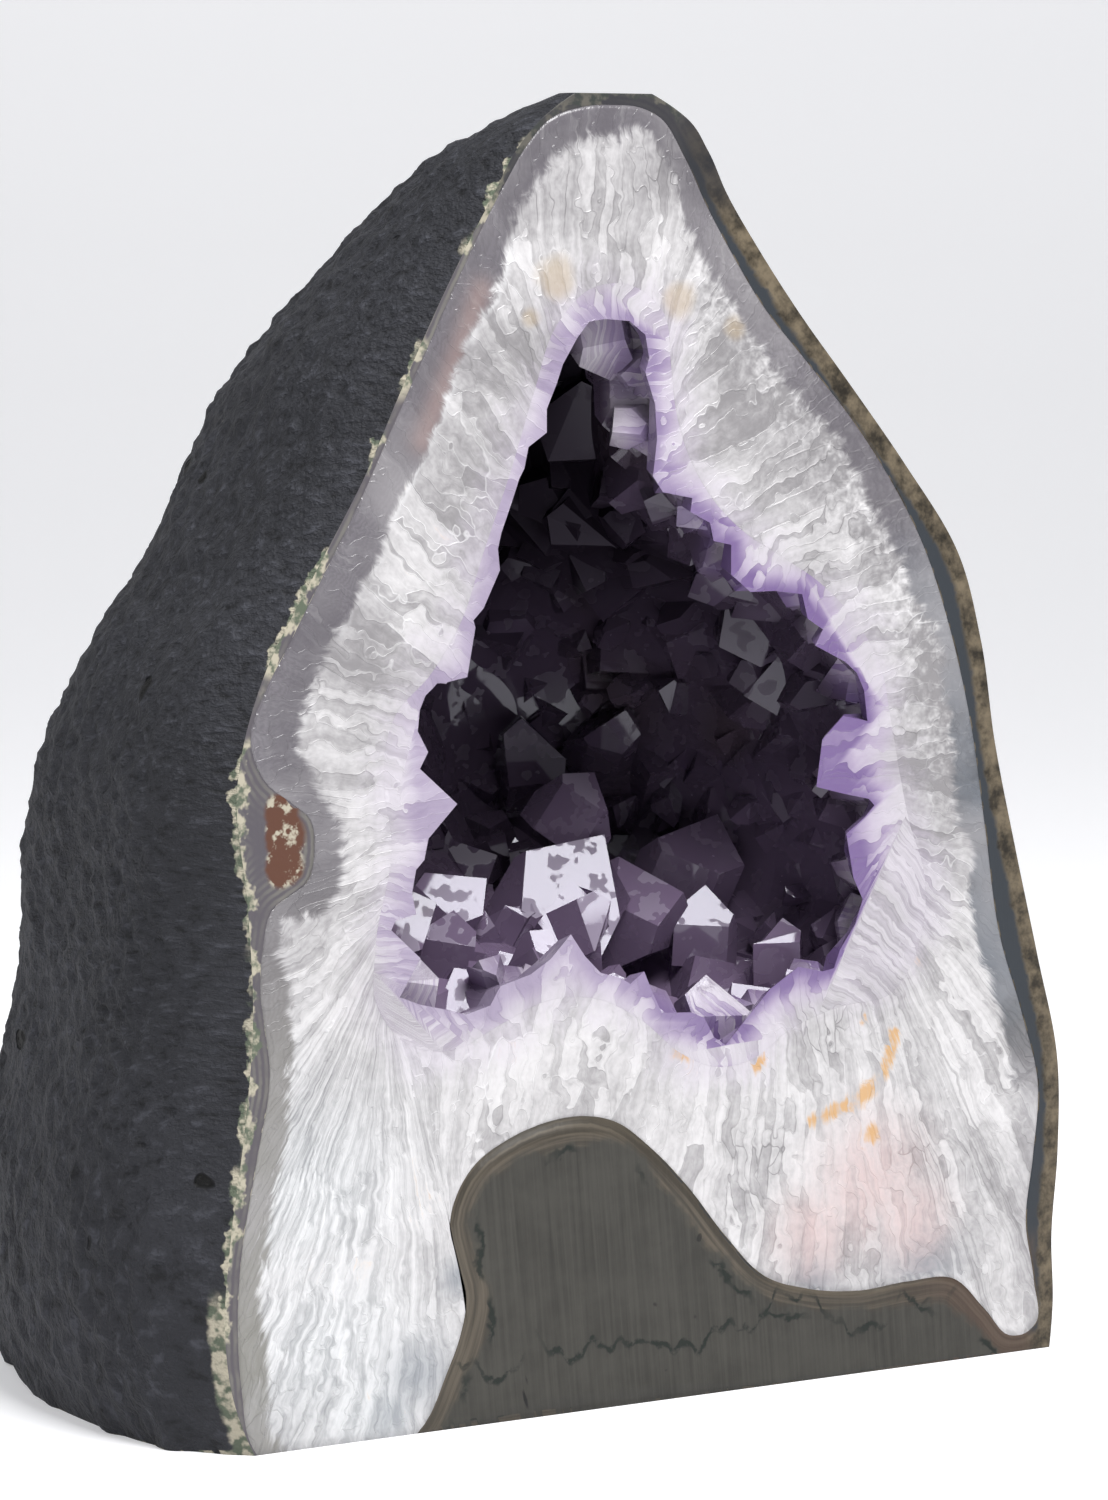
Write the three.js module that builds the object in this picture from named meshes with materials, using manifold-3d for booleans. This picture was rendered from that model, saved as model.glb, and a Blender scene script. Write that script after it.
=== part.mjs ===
// An amethyst geode that stands on a sawn base, with its front sawn open.
// From the outside in, it is a basalt shell, a wall of white quartz and a crust of amethyst crystals.
// X runs along the front face, Y runs back from it and Z is up. Lengths are in millimetres.
import * as THREE from "three";
import { ConvexGeometry } from "three/addons/geometries/ConvexGeometry.js";
import { mergeVertices } from "three/addons/utils/BufferGeometryUtils.js";
import Module from "manifold-3d";

// Driving dimensions of the basalt shell. A profile is a list of [height, value].
const HEIGHT = 286;
const LEFT_EDGE = [
  [0, 0], [16, -6], [45, -5.5], [85, 0], [120, -1], [150, -2.5], [172, 7],
  [200, 24], [238, 43], [266, 59], [279, 68], [HEIGHT, 78],
];
const RIGHT_EDGE = [
  [0, 205], [14, 206], [35, 205], [56, 208], [78, 204], [105, 197], [142, 188],
  [184, 178], [216, 154], [245, 130], [268, 114], [280, 107], [HEIGHT, 97],
];
const DEPTH = [
  [0, 165], [50, 172], [100, 156], [150, 126], [190, 119], [225, 109], [255, 77],
  [275, 37], [HEIGHT, 10],
];
const WIDEST_SHARE = 0.26; // how far back the shell is widest, as a share of its depth
const LEFT_BULGE_SHARE = 0.113; // how far it bulges past the front edges there
const RIGHT_BULGE_SHARE = 0.06;
const FRONT_ROUNDNESS = 3; // superellipse powers of its plan
const BACK_ROUNDNESS = 2.5;
const LUMP = 2.2; // height of the broad swellings of the skin
const LUMP_LENGTH = 88;
const LUMP_START = 30; // the skin is plain this close to the front face

// Edge of the white quartz on the front face as [x, z]. It dips round the basalt mound at the foot.
const QUARTZ_EDGE = [
  [4, -6], [-3, 14], [-3, 42], [4, 82], [2, 98], [5, 116], [13, 121], [14, 134],
  [4, 142], [0, 152], [9, 171], [24, 197], [45, 238], [61, 267], [72, 280.5], [88, 283.5],
  [99, 281], [111, 262], [125, 241], [149, 215], [168, 187], [181, 148], [190, 97], [201, 62],
  [198, 30], [201, 6], [194, 4], [178, 19], [152, 19], [127, 25], [107, 47], [88, 63.5],
  [72, 65], [53, 57], [47, 45], [51, 28], [46, 12], [33, -6],
];
const QUARTZ_MIDDLE = 98; // the x that the quartz closes on towards the back
const QUARTZ_DEPTH = 148;

// Root of the amethyst crust on the front face as [x, z], and the point that the hollow closes on.
const CRUST_EDGE = [
  [100, 238], [102, 222], [106, 208], [116, 194], [130, 185], [145, 175], [156, 160], [160, 142],
  [164, 125], [169, 106], [160, 87], [139, 84], [123, 75], [110, 75], [95, 86], [77, 93],
  [60, 88], [42, 83], [30, 95], [31, 112], [34, 129], [32, 143], [35, 155], [47, 167],
  [56, 188], [66, 214], [74, 236], [87, 245],
];
const HOLLOW_CENTRE = [100, 142];
const HOLLOW_DEPTH = 98;
const CRUST_BACK = 2.5; // thickness of the crust's bed at the back
const CRUST_SHARE = 0.95; // width inside the crust's bed, as a share of that at its root

const GAP = 0.3; // between one layer and the next

// Amethyst crystals: six-sided prisms under points of three large and three small faces.
const POINT_SLOPE = THREE.MathUtils.degToRad(38.2); // between a point's face and the crystal's axis
const CRYSTAL_ROOT = 4; // how far a crystal starts behind the root of the crust
// Small crystals along the front edge, which the saw cut through.
const RIM = {
  rows: [0],
  spread: 0.4,
  spacing: 15,
  radius: [5, 7.5],
  reach: [5.5, 10.5],
  tilt: 0.2,
};
// Crystals over the rest of the wall, in rows at these degrees from the front face to the back.
const WALL = {
  rows: [10, 21, 33, 47, 63, 82],
  spread: 3,
  spacing: 31,
  radius: [30, 30],
  reach: [9, 15],
  tilt: 0.4,
};
// Large crystals that stand out, each as its tip, its direction, its radius and its length.
const LARGE = [
  [[112, 42, 118], [-0.15, -0.35, 0.92], 13, 34],
  [[97, 38, 111], [-0.35, -0.3, 0.88], 10, 26],
  [[124, 36, 108], [0.2, -0.45, 0.87], 11, 28],
  [[145, 54, 121], [-0.35, -0.45, 0.82], 12, 28],
  [[144, 25, 101], [0, -0.3, 0.95], 9, 22],
  [[157, 13, 107], [-0.5, -0.3, 0.8], 7, 16],
  [[77, 42, 114], [0.1, -0.35, 0.93], 9, 22],
  [[57, 26, 110], [0.35, -0.25, 0.9], 9, 22],
  [[121, 13, 93], [0, -0.1, 0.99], 9, 18],
  [[102, 17, 208], [0.1, -0.05, -1], 10, 38],
  [[133, 30, 176], [-0.75, -0.45, -0.45], 9, 18],
  [[149, 9, 158], [-0.9, -0.35, 0.1], 8, 16],
  [[149, 10, 138], [-0.9, -0.3, -0.1], 8, 16],
  [[156, 9, 115], [-0.9, -0.35, 0.2], 8, 16],
  [[113, 80, 142], [-0.45, -0.8, 0.35], 9, 20],
  [[130, 70, 145], [-0.45, -0.85, 0.1], 9, 20],
  [[149, 50, 130], [-0.7, -0.6, 0.3], 9, 20],
];

const wasm = await Module();
wasm.setup();

// A repeatable stream of numbers from 0 to 1.
let seed = 20117;
function chance() {
  seed = (seed * 16807) % 2147483647;
  return seed / 2147483647;
}
const between = ([low, high]) => low + (high - low) * chance();

// A smooth function through a profile's [height, value] pairs.
function smooth(profile) {
  const heights = profile.map(([height]) => height);
  const values = profile.map(([, value]) => value);
  const curve = new THREE.CubicInterpolant(heights, values, 1);
  return (height) => curve.evaluate(height)[0];
}

// A closed mesh from position and index lists, as a solid.
function solidFrom(geometry) {
  const bare = geometry.clone();
  bare.deleteAttribute("normal");
  bare.deleteAttribute("uv");
  const merged = mergeVertices(bare, 1e-4);
  return new wasm.Manifold(
    new wasm.Mesh({
      numProp: 3,
      vertProperties: new Float32Array(merged.attributes.position.array),
      triVerts: new Uint32Array(merged.index.array),
    }),
  );
}

function geometryFrom(solid) {
  const mesh = solid.getMesh();
  const geometry = new THREE.BufferGeometry();
  geometry.setAttribute("position", new THREE.BufferAttribute(mesh.vertProperties, 3));
  geometry.setIndex(new THREE.BufferAttribute(mesh.triVerts, 1));
  geometry.computeVertexNormals();
  return geometry;
}

// A solid through rings of equally many points that turn anticlockwise about the way the rings follow.
function loft(rings, flat) {
  const count = rings[0].length;
  const last = (rings.length - 1) * count;
  const index = [];
  for (let k = 0; k < last; k += count) {
    for (let i = 0; i < count; i += 1) {
      const next = (i + 1) % count;
      index.push(k + i, k + next, k + count + next);
      index.push(k + i, k + count + next, k + count + i);
    }
  }
  const firstCap = THREE.ShapeUtils.triangulateShape(rings[0].map(flat), []);
  const lastCap = THREE.ShapeUtils.triangulateShape(rings.at(-1).map(flat), []);
  firstCap.forEach(([a, b, c]) => index.push(c, b, a));
  lastCap.forEach(([a, b, c]) => index.push(last + a, last + b, last + c));
  const geometry = new THREE.BufferGeometry().setFromPoints(rings.flat());
  geometry.setIndex(index);
  return solidFrom(geometry);
}

function box(low, high) {
  const size = new THREE.Vector3().subVectors(high, low);
  const geometry = new THREE.BoxGeometry(size.x, size.y, size.z);
  geometry.translate((low.x + high.x) / 2, (low.y + high.y) / 2, (low.z + high.z) / 2);
  return solidFrom(geometry);
}

// The room behind the front face and above the floor, which the saw left.
const sawnRoom = box(new THREE.Vector3(-200, 0, 0), new THREE.Vector3(400, 400, 400));

// Basalt body: level plans, each flat in front, widest a little behind the face and round at the back.
const leftEdge = smooth(LEFT_EDGE);
const rightEdge = smooth(RIGHT_EDGE);
const depthAt = smooth(DEPTH);

function swelling(point) {
  const away = THREE.MathUtils.smoothstep(point.y, 0, LUMP_START);
  const turn = (2 * Math.PI) / LUMP_LENGTH;
  const wave = Math.sin(point.x * turn + 1.3) * Math.sin(point.z * turn * 0.8 + 0.4)
    + Math.sin(point.y * turn * 1.2 + point.z * turn * 0.55 + 2.1) * 0.7;
  return LUMP * away * wave;
}

function planAt(height, steps) {
  const middle = (leftEdge(height) + rightEdge(height)) / 2;
  const half = (rightEdge(height) - leftEdge(height)) / 2;
  const depth = depthAt(height);
  const widest = depth * WIDEST_SHARE;
  const points = [];
  const side = (sign, bulge) => {
    const reach = half + depth * bulge;
    const cut = (1 - (half / reach) ** FRONT_ROUNDNESS) ** (1 / FRONT_ROUNDNESS);
    const quarter = [];
    for (let i = 0; i <= steps; i += 1) {
      const y = (widest * i) / steps;
      const share = cut * (1 - y / widest);
      quarter.push([reach * (1 - share ** FRONT_ROUNDNESS) ** (1 / FRONT_ROUNDNESS), y]);
    }
    for (let i = 1; i <= 2 * steps; i += 1) {
      const angle = (Math.PI / 4 / steps) * i;
      const across = Math.max(Math.cos(angle), 0) ** (2 / BACK_ROUNDNESS);
      const back = Math.sin(angle) ** (2 / BACK_ROUNDNESS);
      quarter.push([reach * across, widest + (depth - widest) * back]);
    }
    return quarter.map(([x, y]) => new THREE.Vector3(middle + sign * x, y, height));
  };
  points.push(...side(1, RIGHT_BULGE_SHARE));
  points.push(...side(-1, LEFT_BULGE_SHARE).reverse().slice(1));
  const outward = (p) => new THREE.Vector3(p.x - middle, p.y - widest, 0).normalize();
  return points.map((p) => p.clone().addScaledVector(outward(p), swelling(p)));
}

const LEVELS = [0, 10, 26, 46, 68, 92, 117, 142, 165, 186, 205, 223, 239, 253, 265, 274, 281, HEIGHT];
const PLAN_STEPS = 5;
const body = loft(
  LEVELS.map((height) => planAt(height, PLAN_STEPS)),
  (p) => new THREE.Vector2(p.x, p.y),
);

// An outline on the front face as points with their outward directions.
function outline(points, count) {
  const curve = new THREE.CatmullRomCurve3(
    points.map(([x, z]) => new THREE.Vector3(x, 0, z)),
    true,
    "centripetal",
  );
  const ring = [];
  for (let i = 0; i < count; i += 1) {
    const along = curve.getTangent(i / count);
    ring.push({ at: curve.getPoint(i / count), out: new THREE.Vector3(-along.z, 0, along.x) });
  }
  return ring;
}

const frontOf = (p) => new THREE.Vector2(p.z, p.x);
const BEFORE_FACE = -4; // rooms start in front of the face, so that the saw cuts them clean

// A room behind an outline, which closes on a centre towards the back. Grow moves its wall out.
function room(ring, centre, stops, shares, grow) {
  const rings = stops.map((y) => {
    const [across, up] = shares(Math.max(y, 0));
    const more = grow * (1 + 2 * (Math.max(y, 0) / stops.at(-1)) ** 2);
    return ring.map(({ at, out }) => new THREE.Vector3(
      centre[0] + (at.x - centre[0]) * across + out.x * more,
      y,
      centre[1] + (at.z - centre[1]) * up + out.z * more,
    ));
  });
  rings.at(-1).forEach((p) => p.setY(p.y + grow));
  return loft(rings, frontOf);
}

const taper = (y, depth, power) => (1 - (y / depth) ** power) ** (1 / power);

// Everything inside the basalt: it shrinks to the floor and to its middle towards the back.
const quartzOutline = outline(QUARTZ_EDGE, 2 * QUARTZ_EDGE.length);
const quartzShares = (y) => [taper(y, QUARTZ_DEPTH, 2.6), taper(y, QUARTZ_DEPTH, 1.7)];
const QUARTZ_STOPS = [BEFORE_FACE, 0, 22, 50, 78, 102, 120, 134];
const quartzRoom = (grow) => room(quartzOutline, [QUARTZ_MIDDLE, 0], QUARTZ_STOPS, quartzShares, grow);

// Everything inside the quartz.
const HOLLOW_POWER = 2.3;
const hollowShares = (y) => [taper(y, HOLLOW_DEPTH, HOLLOW_POWER), taper(y, HOLLOW_DEPTH, HOLLOW_POWER)];
const hollowOutline = outline(CRUST_EDGE, 1.5 * CRUST_EDGE.length);
const HOLLOW_STOPS = [BEFORE_FACE, 0, 25, 48, 68, 83, 93];
const hollowRoom = (grow) => room(hollowOutline, HOLLOW_CENTRE, HOLLOW_STOPS, hollowShares, grow);
const bedShares = (y) => hollowShares(y).map((share) => share * CRUST_SHARE);
const bedRoom = room(hollowOutline, HOLLOW_CENTRE, HOLLOW_STOPS, bedShares, 0).translate(0, -CRUST_BACK, 0);

// A crystal along +Z from the origin. Its corners are where three of its faces meet inside the others.
function crystal(radius, length) {
  const faces = [new THREE.Plane(new THREE.Vector3(0, 0, -1), 0)];
  for (let k = 0; k < 6; k += 1) {
    const angle = (Math.PI / 3) * k;
    const across = new THREE.Vector3(Math.cos(angle), Math.sin(angle), 0);
    faces.push(new THREE.Plane(across, -radius * between([0.85, 1.15])));
    const slope = across.clone().multiplyScalar(Math.cos(POINT_SLOPE)).setZ(Math.sin(POINT_SLOPE));
    const back = k % 2 ? radius * between([0.05, 0.35]) : 0;
    faces.push(new THREE.Plane(slope, -(length * Math.sin(POINT_SLOPE) + back)));
  }
  const corners = [];
  const meet = new THREE.Matrix3();
  for (let a = 0; a < faces.length; a += 1) {
    for (let b = a + 1; b < faces.length; b += 1) {
      for (let c = b + 1; c < faces.length; c += 1) {
        const normals = [faces[a].normal, faces[b].normal, faces[c].normal];
        meet.set(...normals.flatMap((n) => [n.x, n.y, n.z]));
        if (Math.abs(meet.determinant()) < 1e-6) continue;
        const offsets = new THREE.Vector3(-faces[a].constant, -faces[b].constant, -faces[c].constant);
        const corner = offsets.applyMatrix3(meet.invert());
        if (faces.every((face) => face.distanceToPoint(corner) < 1e-5)) corners.push(corner);
      }
    }
  }
  return new ConvexGeometry(corners);
}

// A crystal placed with its root at a point and its tip along a direction, turned about its axis.
function placedCrystal(root, direction, radius, length) {
  const turn = new THREE.Quaternion().setFromUnitVectors(new THREE.Vector3(0, 0, 1), direction);
  turn.multiply(new THREE.Quaternion().setFromAxisAngle(new THREE.Vector3(0, 0, 1), Math.PI * chance()));
  const place = new THREE.Matrix4().compose(root, turn, new THREE.Vector3(1, 1, 1));
  return solidFrom(crystal(radius, length).applyMatrix4(place));
}

// A point of the hollow's wall. The turn runs from 0 at the front face to a quarter circle at the back.
function hollowWall(at, turn) {
  const share = Math.cos(turn) ** (2 / HOLLOW_POWER);
  const [x, z] = HOLLOW_CENTRE;
  const y = HOLLOW_DEPTH * Math.sin(turn) ** (2 / HOLLOW_POWER);
  return new THREE.Vector3(x + (at.x - x) * share, y, z + (at.z - z) * share);
}

// Crystals in staggered rows round the hollow, each leaning a little off square to the wall.
function crystalRows({ rows, spread, spacing, radius, reach, tilt }) {
  const crystals = [];
  const fine = outline(CRUST_EDGE, 600);
  const girth = fine.reduce((sum, p, i) => sum + p.at.distanceTo(fine[(i + 1) % fine.length].at), 0);
  rows.forEach((degrees) => {
    const turn = degrees * THREE.MathUtils.DEG2RAD;
    const share = Math.cos(turn) ** (2 / HOLLOW_POWER);
    const count = Math.max(Math.round((girth * share) / spacing), 1);
    const start = chance();
    for (let i = 0; i < count; i += 1) {
      const place = ((i + start + 1 + 0.5 * (chance() - 0.5)) / count) % 1;
      const here = fine[Math.floor(place * fine.length)].at;
      const next = fine[Math.floor(place * fine.length + 4) % fine.length].at;
      const deep = turn + spread * THREE.MathUtils.DEG2RAD * chance();
      const root = hollowWall(here, deep);
      const along = hollowWall(next, deep).sub(root);
      const back = hollowWall(here, deep + 0.02).sub(root);
      const inward = back.cross(along).normalize();
      const lean = new THREE.Vector3(chance() - 0.5, chance() - 0.5, chance() - 0.5);
      const direction = inward.clone().addScaledVector(lean, 2 * tilt).normalize();
      root.addScaledVector(inward, -CRYSTAL_ROOT);
      crystals.push(placedCrystal(root, direction, between(radius), CRYSTAL_ROOT + between(reach)));
    }
  });
  return crystals;
}

// The large crystals, set back from their tips to their roots.
const largeCrystals = () =>
  LARGE.map(([tip, towards, radius, length]) => {
    const direction = new THREE.Vector3(...towards).normalize();
    const root = new THREE.Vector3(...tip).addScaledVector(direction, -length);
    return placedCrystal(root, direction, radius, length);
  });

const TIDY = 0.02; // corners closer than this are merged
const CRUST_TIDY = 0.3;

// The largest closed skin of a solid, so that no void stays sealed between its crystals.
const largestSkin = (solid) =>
  solid.decompose().reduce((best, skin) => (skin.volume() > best.volume() ? skin : best));

const basaltShell = body.subtract(quartzRoom(GAP)).simplify(TIDY);
const quartzWall = quartzRoom(0).intersect(sawnRoom).subtract(hollowRoom(GAP)).simplify(TIDY);
const crustBed = hollowRoom(GAP).subtract(bedRoom);
const crystals = [...crystalRows(RIM), ...crystalRows(WALL), ...largeCrystals()];
const grownCrust = wasm.Manifold.union([crustBed, ...crystals]);
const cutCrust = grownCrust.intersect(hollowRoom(0)).intersect(sawnRoom);
const amethystCrust = largestSkin(cutCrust.simplify(CRUST_TIDY));

function piece(name, solid, colour, roughness) {
  const material = new THREE.MeshStandardMaterial({ color: colour, roughness, metalness: 0 });
  const mesh = new THREE.Mesh(geometryFrom(solid), material);
  mesh.name = name;
  return mesh;
}

const geode = new THREE.Group();
geode.name = "amethyst_geode";
geode.add(piece("basalt_shell", basaltShell, 0x34353a, 0.85));
geode.add(piece("quartz_wall", quartzWall, 0xdcd6dc, 0.25));
geode.add(piece("amethyst_crust", amethystCrust, 0x553a78, 0.1));

// The origin is on the floor, under the middle of the shell's box.
const reach = new THREE.Box3().setFromObject(geode);
geode.position.set(-(reach.min.x + reach.max.x) / 2, -(reach.min.y + reach.max.y) / 2, 0);

export default geode;
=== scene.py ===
import math

import bmesh
import bpy
import numpy as np
from bpy.props import FloatProperty, FloatVectorProperty, IntProperty, PointerProperty
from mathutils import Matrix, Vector


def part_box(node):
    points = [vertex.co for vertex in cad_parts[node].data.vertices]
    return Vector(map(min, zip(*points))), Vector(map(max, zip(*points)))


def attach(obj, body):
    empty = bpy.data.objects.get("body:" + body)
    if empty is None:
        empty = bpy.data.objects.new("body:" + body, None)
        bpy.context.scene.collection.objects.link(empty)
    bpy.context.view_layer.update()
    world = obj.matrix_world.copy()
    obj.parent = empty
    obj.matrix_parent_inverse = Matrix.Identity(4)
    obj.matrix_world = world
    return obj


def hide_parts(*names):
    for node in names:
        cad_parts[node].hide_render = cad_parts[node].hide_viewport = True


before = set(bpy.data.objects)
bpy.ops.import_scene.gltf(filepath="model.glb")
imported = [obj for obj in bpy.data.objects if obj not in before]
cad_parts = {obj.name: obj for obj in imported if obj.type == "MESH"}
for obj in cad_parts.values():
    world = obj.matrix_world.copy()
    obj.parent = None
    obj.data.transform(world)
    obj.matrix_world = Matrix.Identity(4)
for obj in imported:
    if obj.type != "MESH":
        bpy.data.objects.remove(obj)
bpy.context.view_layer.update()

bl_info = {
    "name": "Amethyst geode",
    "version": (1, 0, 0),
    "blender": (4, 5, 0),
    "location": "3D View > Sidebar > Geode",
    "description": "Dresses the packed geode with painted rock, quartz and amethyst",
    "category": "Add Mesh",
}

MM = 0.001
SHELL_LOW, SHELL_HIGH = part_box("basalt_shell")
FACE = SHELL_LOW.y
TOP = SHELL_HIGH.z

# Heights of the shell's level plans and the closing of its two rooms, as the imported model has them.
LEVELS = np.array([0, 10, 26, 46, 68, 92, 117, 142, 165, 186, 205, 223, 239, 253, 265, 274, 281, 286]) * MM
QUARTZ_MIDDLE = 98
QUARTZ_DEPTH = 148
QUARTZ_POWERS = (2.6, 1.7)
HOLLOW_MIDDLE = (100, 142)
HOLLOW_DEPTH = 98
HOLLOW_POWER = 2.3

# Materials of the rock by number, and its distance values where neither edge is near.
PAINT, SAWN, FOOT = 0, 1, 2
FAR_RIM = 50 * MM
CROWN_EDGE = 4 * MM
# Depth of the chips at the foot, and gap between the rock's room and the quartz in it.
CHIP_DEPTH = 3.5 * MM
ROOM_GAP = 0.4 * MM
# How far the camera is turned about the upright and looks down, in degrees.
CAMERA_TURN = -30
CAMERA_DIP = 6.046
# How strongly quartz and amethyst bend light.
QUARTZ_IOR = 1.54
# How far the crust stands in front of the quartz's edge, so that no line shows between them.
CRUST_FORWARD = 0.02 * MM

# Places on the sawn face are in millimetres from its lower left corner, across and up.
# Each row pairs a place on the rock's edge with the place on the quartz's edge that faces it.
ROCK_PAIRS = np.array([
    [0, 0, 0.6, 0], [-3.5, 60, 0, 60], [-0.5, 110, 3.5, 110], [-1, 128, 14, 128], [-2.3, 146, 1.5, 148],
    [24, 200, 25, 199], [43, 238, 45, 238], [68, 279, 72, 280.5], [78, 286, 82, 283], [97, 286, 93, 283],
    [107, 280, 99.5, 280], [130, 245, 125, 241], [154, 216, 149, 215], [188, 142, 182, 144],
    [197, 105, 189, 101], [208, 56, 200.5, 56], [206, 14, 201, 8], [205, 0, 199.5, 4.5], [194, 0, 194, 4],
    [178, 0, 178, 19], [152, 0, 152, 19], [127, 0, 127, 25], [107, 0, 107, 47], [89, 0, 88, 63.5],
    [76, 0, 72, 65], [64, 0, 53, 57], [60, 0, 47, 45], [50.5, 0, 51, 28], [44, 0, 46, 12], [38.2, 0, 38.2, 0],
])
# Each row pairs a place on the quartz's outer edge with the place on the crust's root that faces it.
QUARTZ_PAIRS = np.array([
    [0.6, 0, 31, 95], [-3, 42, 30, 103], [3, 90, 31, 113], [14, 128, 34, 130], [0, 152, 33, 150],
    [24, 197, 52, 178], [45, 238, 67, 217], [72, 280, 79, 240], [88, 283.5, 88, 245], [99, 281, 97, 242],
    [125, 241, 103, 219], [149, 215, 116, 194], [168, 187, 143, 176], [181, 148, 159, 147],
    [190, 97, 168, 110], [200, 45, 166, 94], [201, 6, 160, 87], [178, 19, 152, 85.5], [152, 19, 139, 84],
    [127, 25, 125, 75], [107, 47, 110, 75], [88, 63.5, 92, 87.5], [72, 65, 75, 93], [53, 57, 53, 86],
    [47, 45, 43, 83], [51, 28, 34.6, 88.5], [46, 12, 33.8, 90], [38.2, 0, 33.2, 91],
])

# Where the crust's root starts, and where the quartz's rim ends.
CRUST_START = np.array([[32.6, 91.8]])
RIM_END = np.array([[201, 8]])

# Stains, veins and zones of the sawn face, as chains of places or as places with a radius.
ORANGE_VEIN = np.array([[161, 77], [160, 72], [157, 66], [150, 62], [139, 59]])
ORANGE_SPOTS = np.array([[153, 81, 2.2], [169, 93, 2.4], [105, 78, 2.6], [125, 73, 2.0], [156, 54, 3.5]])
BROWN_SPOTS = np.array([[74, 247, 7], [104, 242, 6], [67, 238, 4], [118, 236, 5]])
PINK_SPOTS = np.array([[155, 44, 20], [140, 34, 14], [166, 34, 14]])
BLUSH_STREAK = np.array([[55, 244], [49, 230], [41, 213]])
SUGAR_BAND = np.array([[119, 245], [135, 228], [152, 208], [166, 188], [176, 165], [181, 140]])
ICE_SPOTS = np.array([[16, 20, 26], [12, 55, 26], [24, 8, 16]])
SHADE_SPOTS = np.array([[39, 13, 8], [33, 5, 6], [49, 33, 4], [170, 22, 9], [140, 22, 6]])
CLEAR_SPOTS = np.array([
    [52, 206, 16], [62, 226, 12], [171, 130, 20], [175, 152, 16], [134, 212, 13], [118, 224, 10],
    [27, 166, 10],
])
MILK_SPOTS = np.array([
    [20, 92, 24], [75, 80, 18], [110, 60, 22], [28, 42, 26], [160, 62, 26], [95, 255, 8],
])
RIM_BAND = np.array([[5, 150], [10, 162], [19, 186], [30, 205], [45, 231], [56, 250]])
ROCK_CRACK = np.array([[65, 12], [66, 6], [65, 0]])
PLUG_SPOTS = np.array([[7.5, 125, 5.5], [7.5, 131, 6], [7, 136, 5]])

# Outline of the crystals that the saw cut, clockwise from its lower left.
CRUST_TEETH = np.array([
    [35, 95], [40, 103], [33, 109.5], [34, 111.5], [39, 112.5], [38, 117], [39, 122], [41, 124],
    [42, 128.5], [49, 135.5], [40, 143.5], [42, 147], [39.5, 151.5], [40, 156], [42.5, 161.5], [46, 161.5],
    [51.5, 162.5], [53.5, 173], [53, 174.5], [55.5, 177], [59.5, 185], [59, 189.5], [60.5, 195.5],
    [63.5, 203], [65.5, 206.5], [66.5, 211], [71, 214], [71, 219], [73.5, 224.5], [75, 228.5], [78.5, 234],
    [81.5, 237.5], [85.5, 238], [91.5, 237.5], [95.5, 234.5], [96.5, 229.5], [95.5, 226.5], [98, 219.5],
    [98.5, 212], [97.5, 204], [100, 200.5], [107.5, 199], [107, 196], [112, 193.5], [113, 189.5],
    [117.5, 188.5], [117.5, 182], [122.5, 178], [129, 178], [136, 177], [137.5, 171.5], [141.5, 169],
    [139.5, 165.5], [147.5, 161.5], [150.5, 159], [152.5, 155], [153.5, 148], [147, 149.5], [141.5, 144.5],
    [140, 134], [147.5, 132], [154, 130.5], [155.5, 129], [153, 126.5], [148, 123], [149, 118], [150, 113],
    [152.5, 108], [150.5, 102.5], [146.5, 97], [145, 93], [142, 92.5], [135.5, 94], [128, 89.5],
    [121.5, 83], [116.5, 78], [113.5, 80], [111, 84.5], [107.5, 86], [100, 86.5], [97.5, 91.5], [95.5, 96],
    [92, 93.5], [89.5, 95], [84.5, 96.5], [80.5, 100.5], [77, 105.5], [72, 100.5], [67, 97.5], [59.5, 95.5],
    [57, 91.5], [51, 90], [46, 91.5], [40, 93],
])

# The way a crystal face looks when it mirrors the main light to the front, and the fall of a point's face.
GLINT = np.array([-0.286, -0.781, 0.555])
POINT_DROP = 1 / math.tan(math.radians(38.2))

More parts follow.
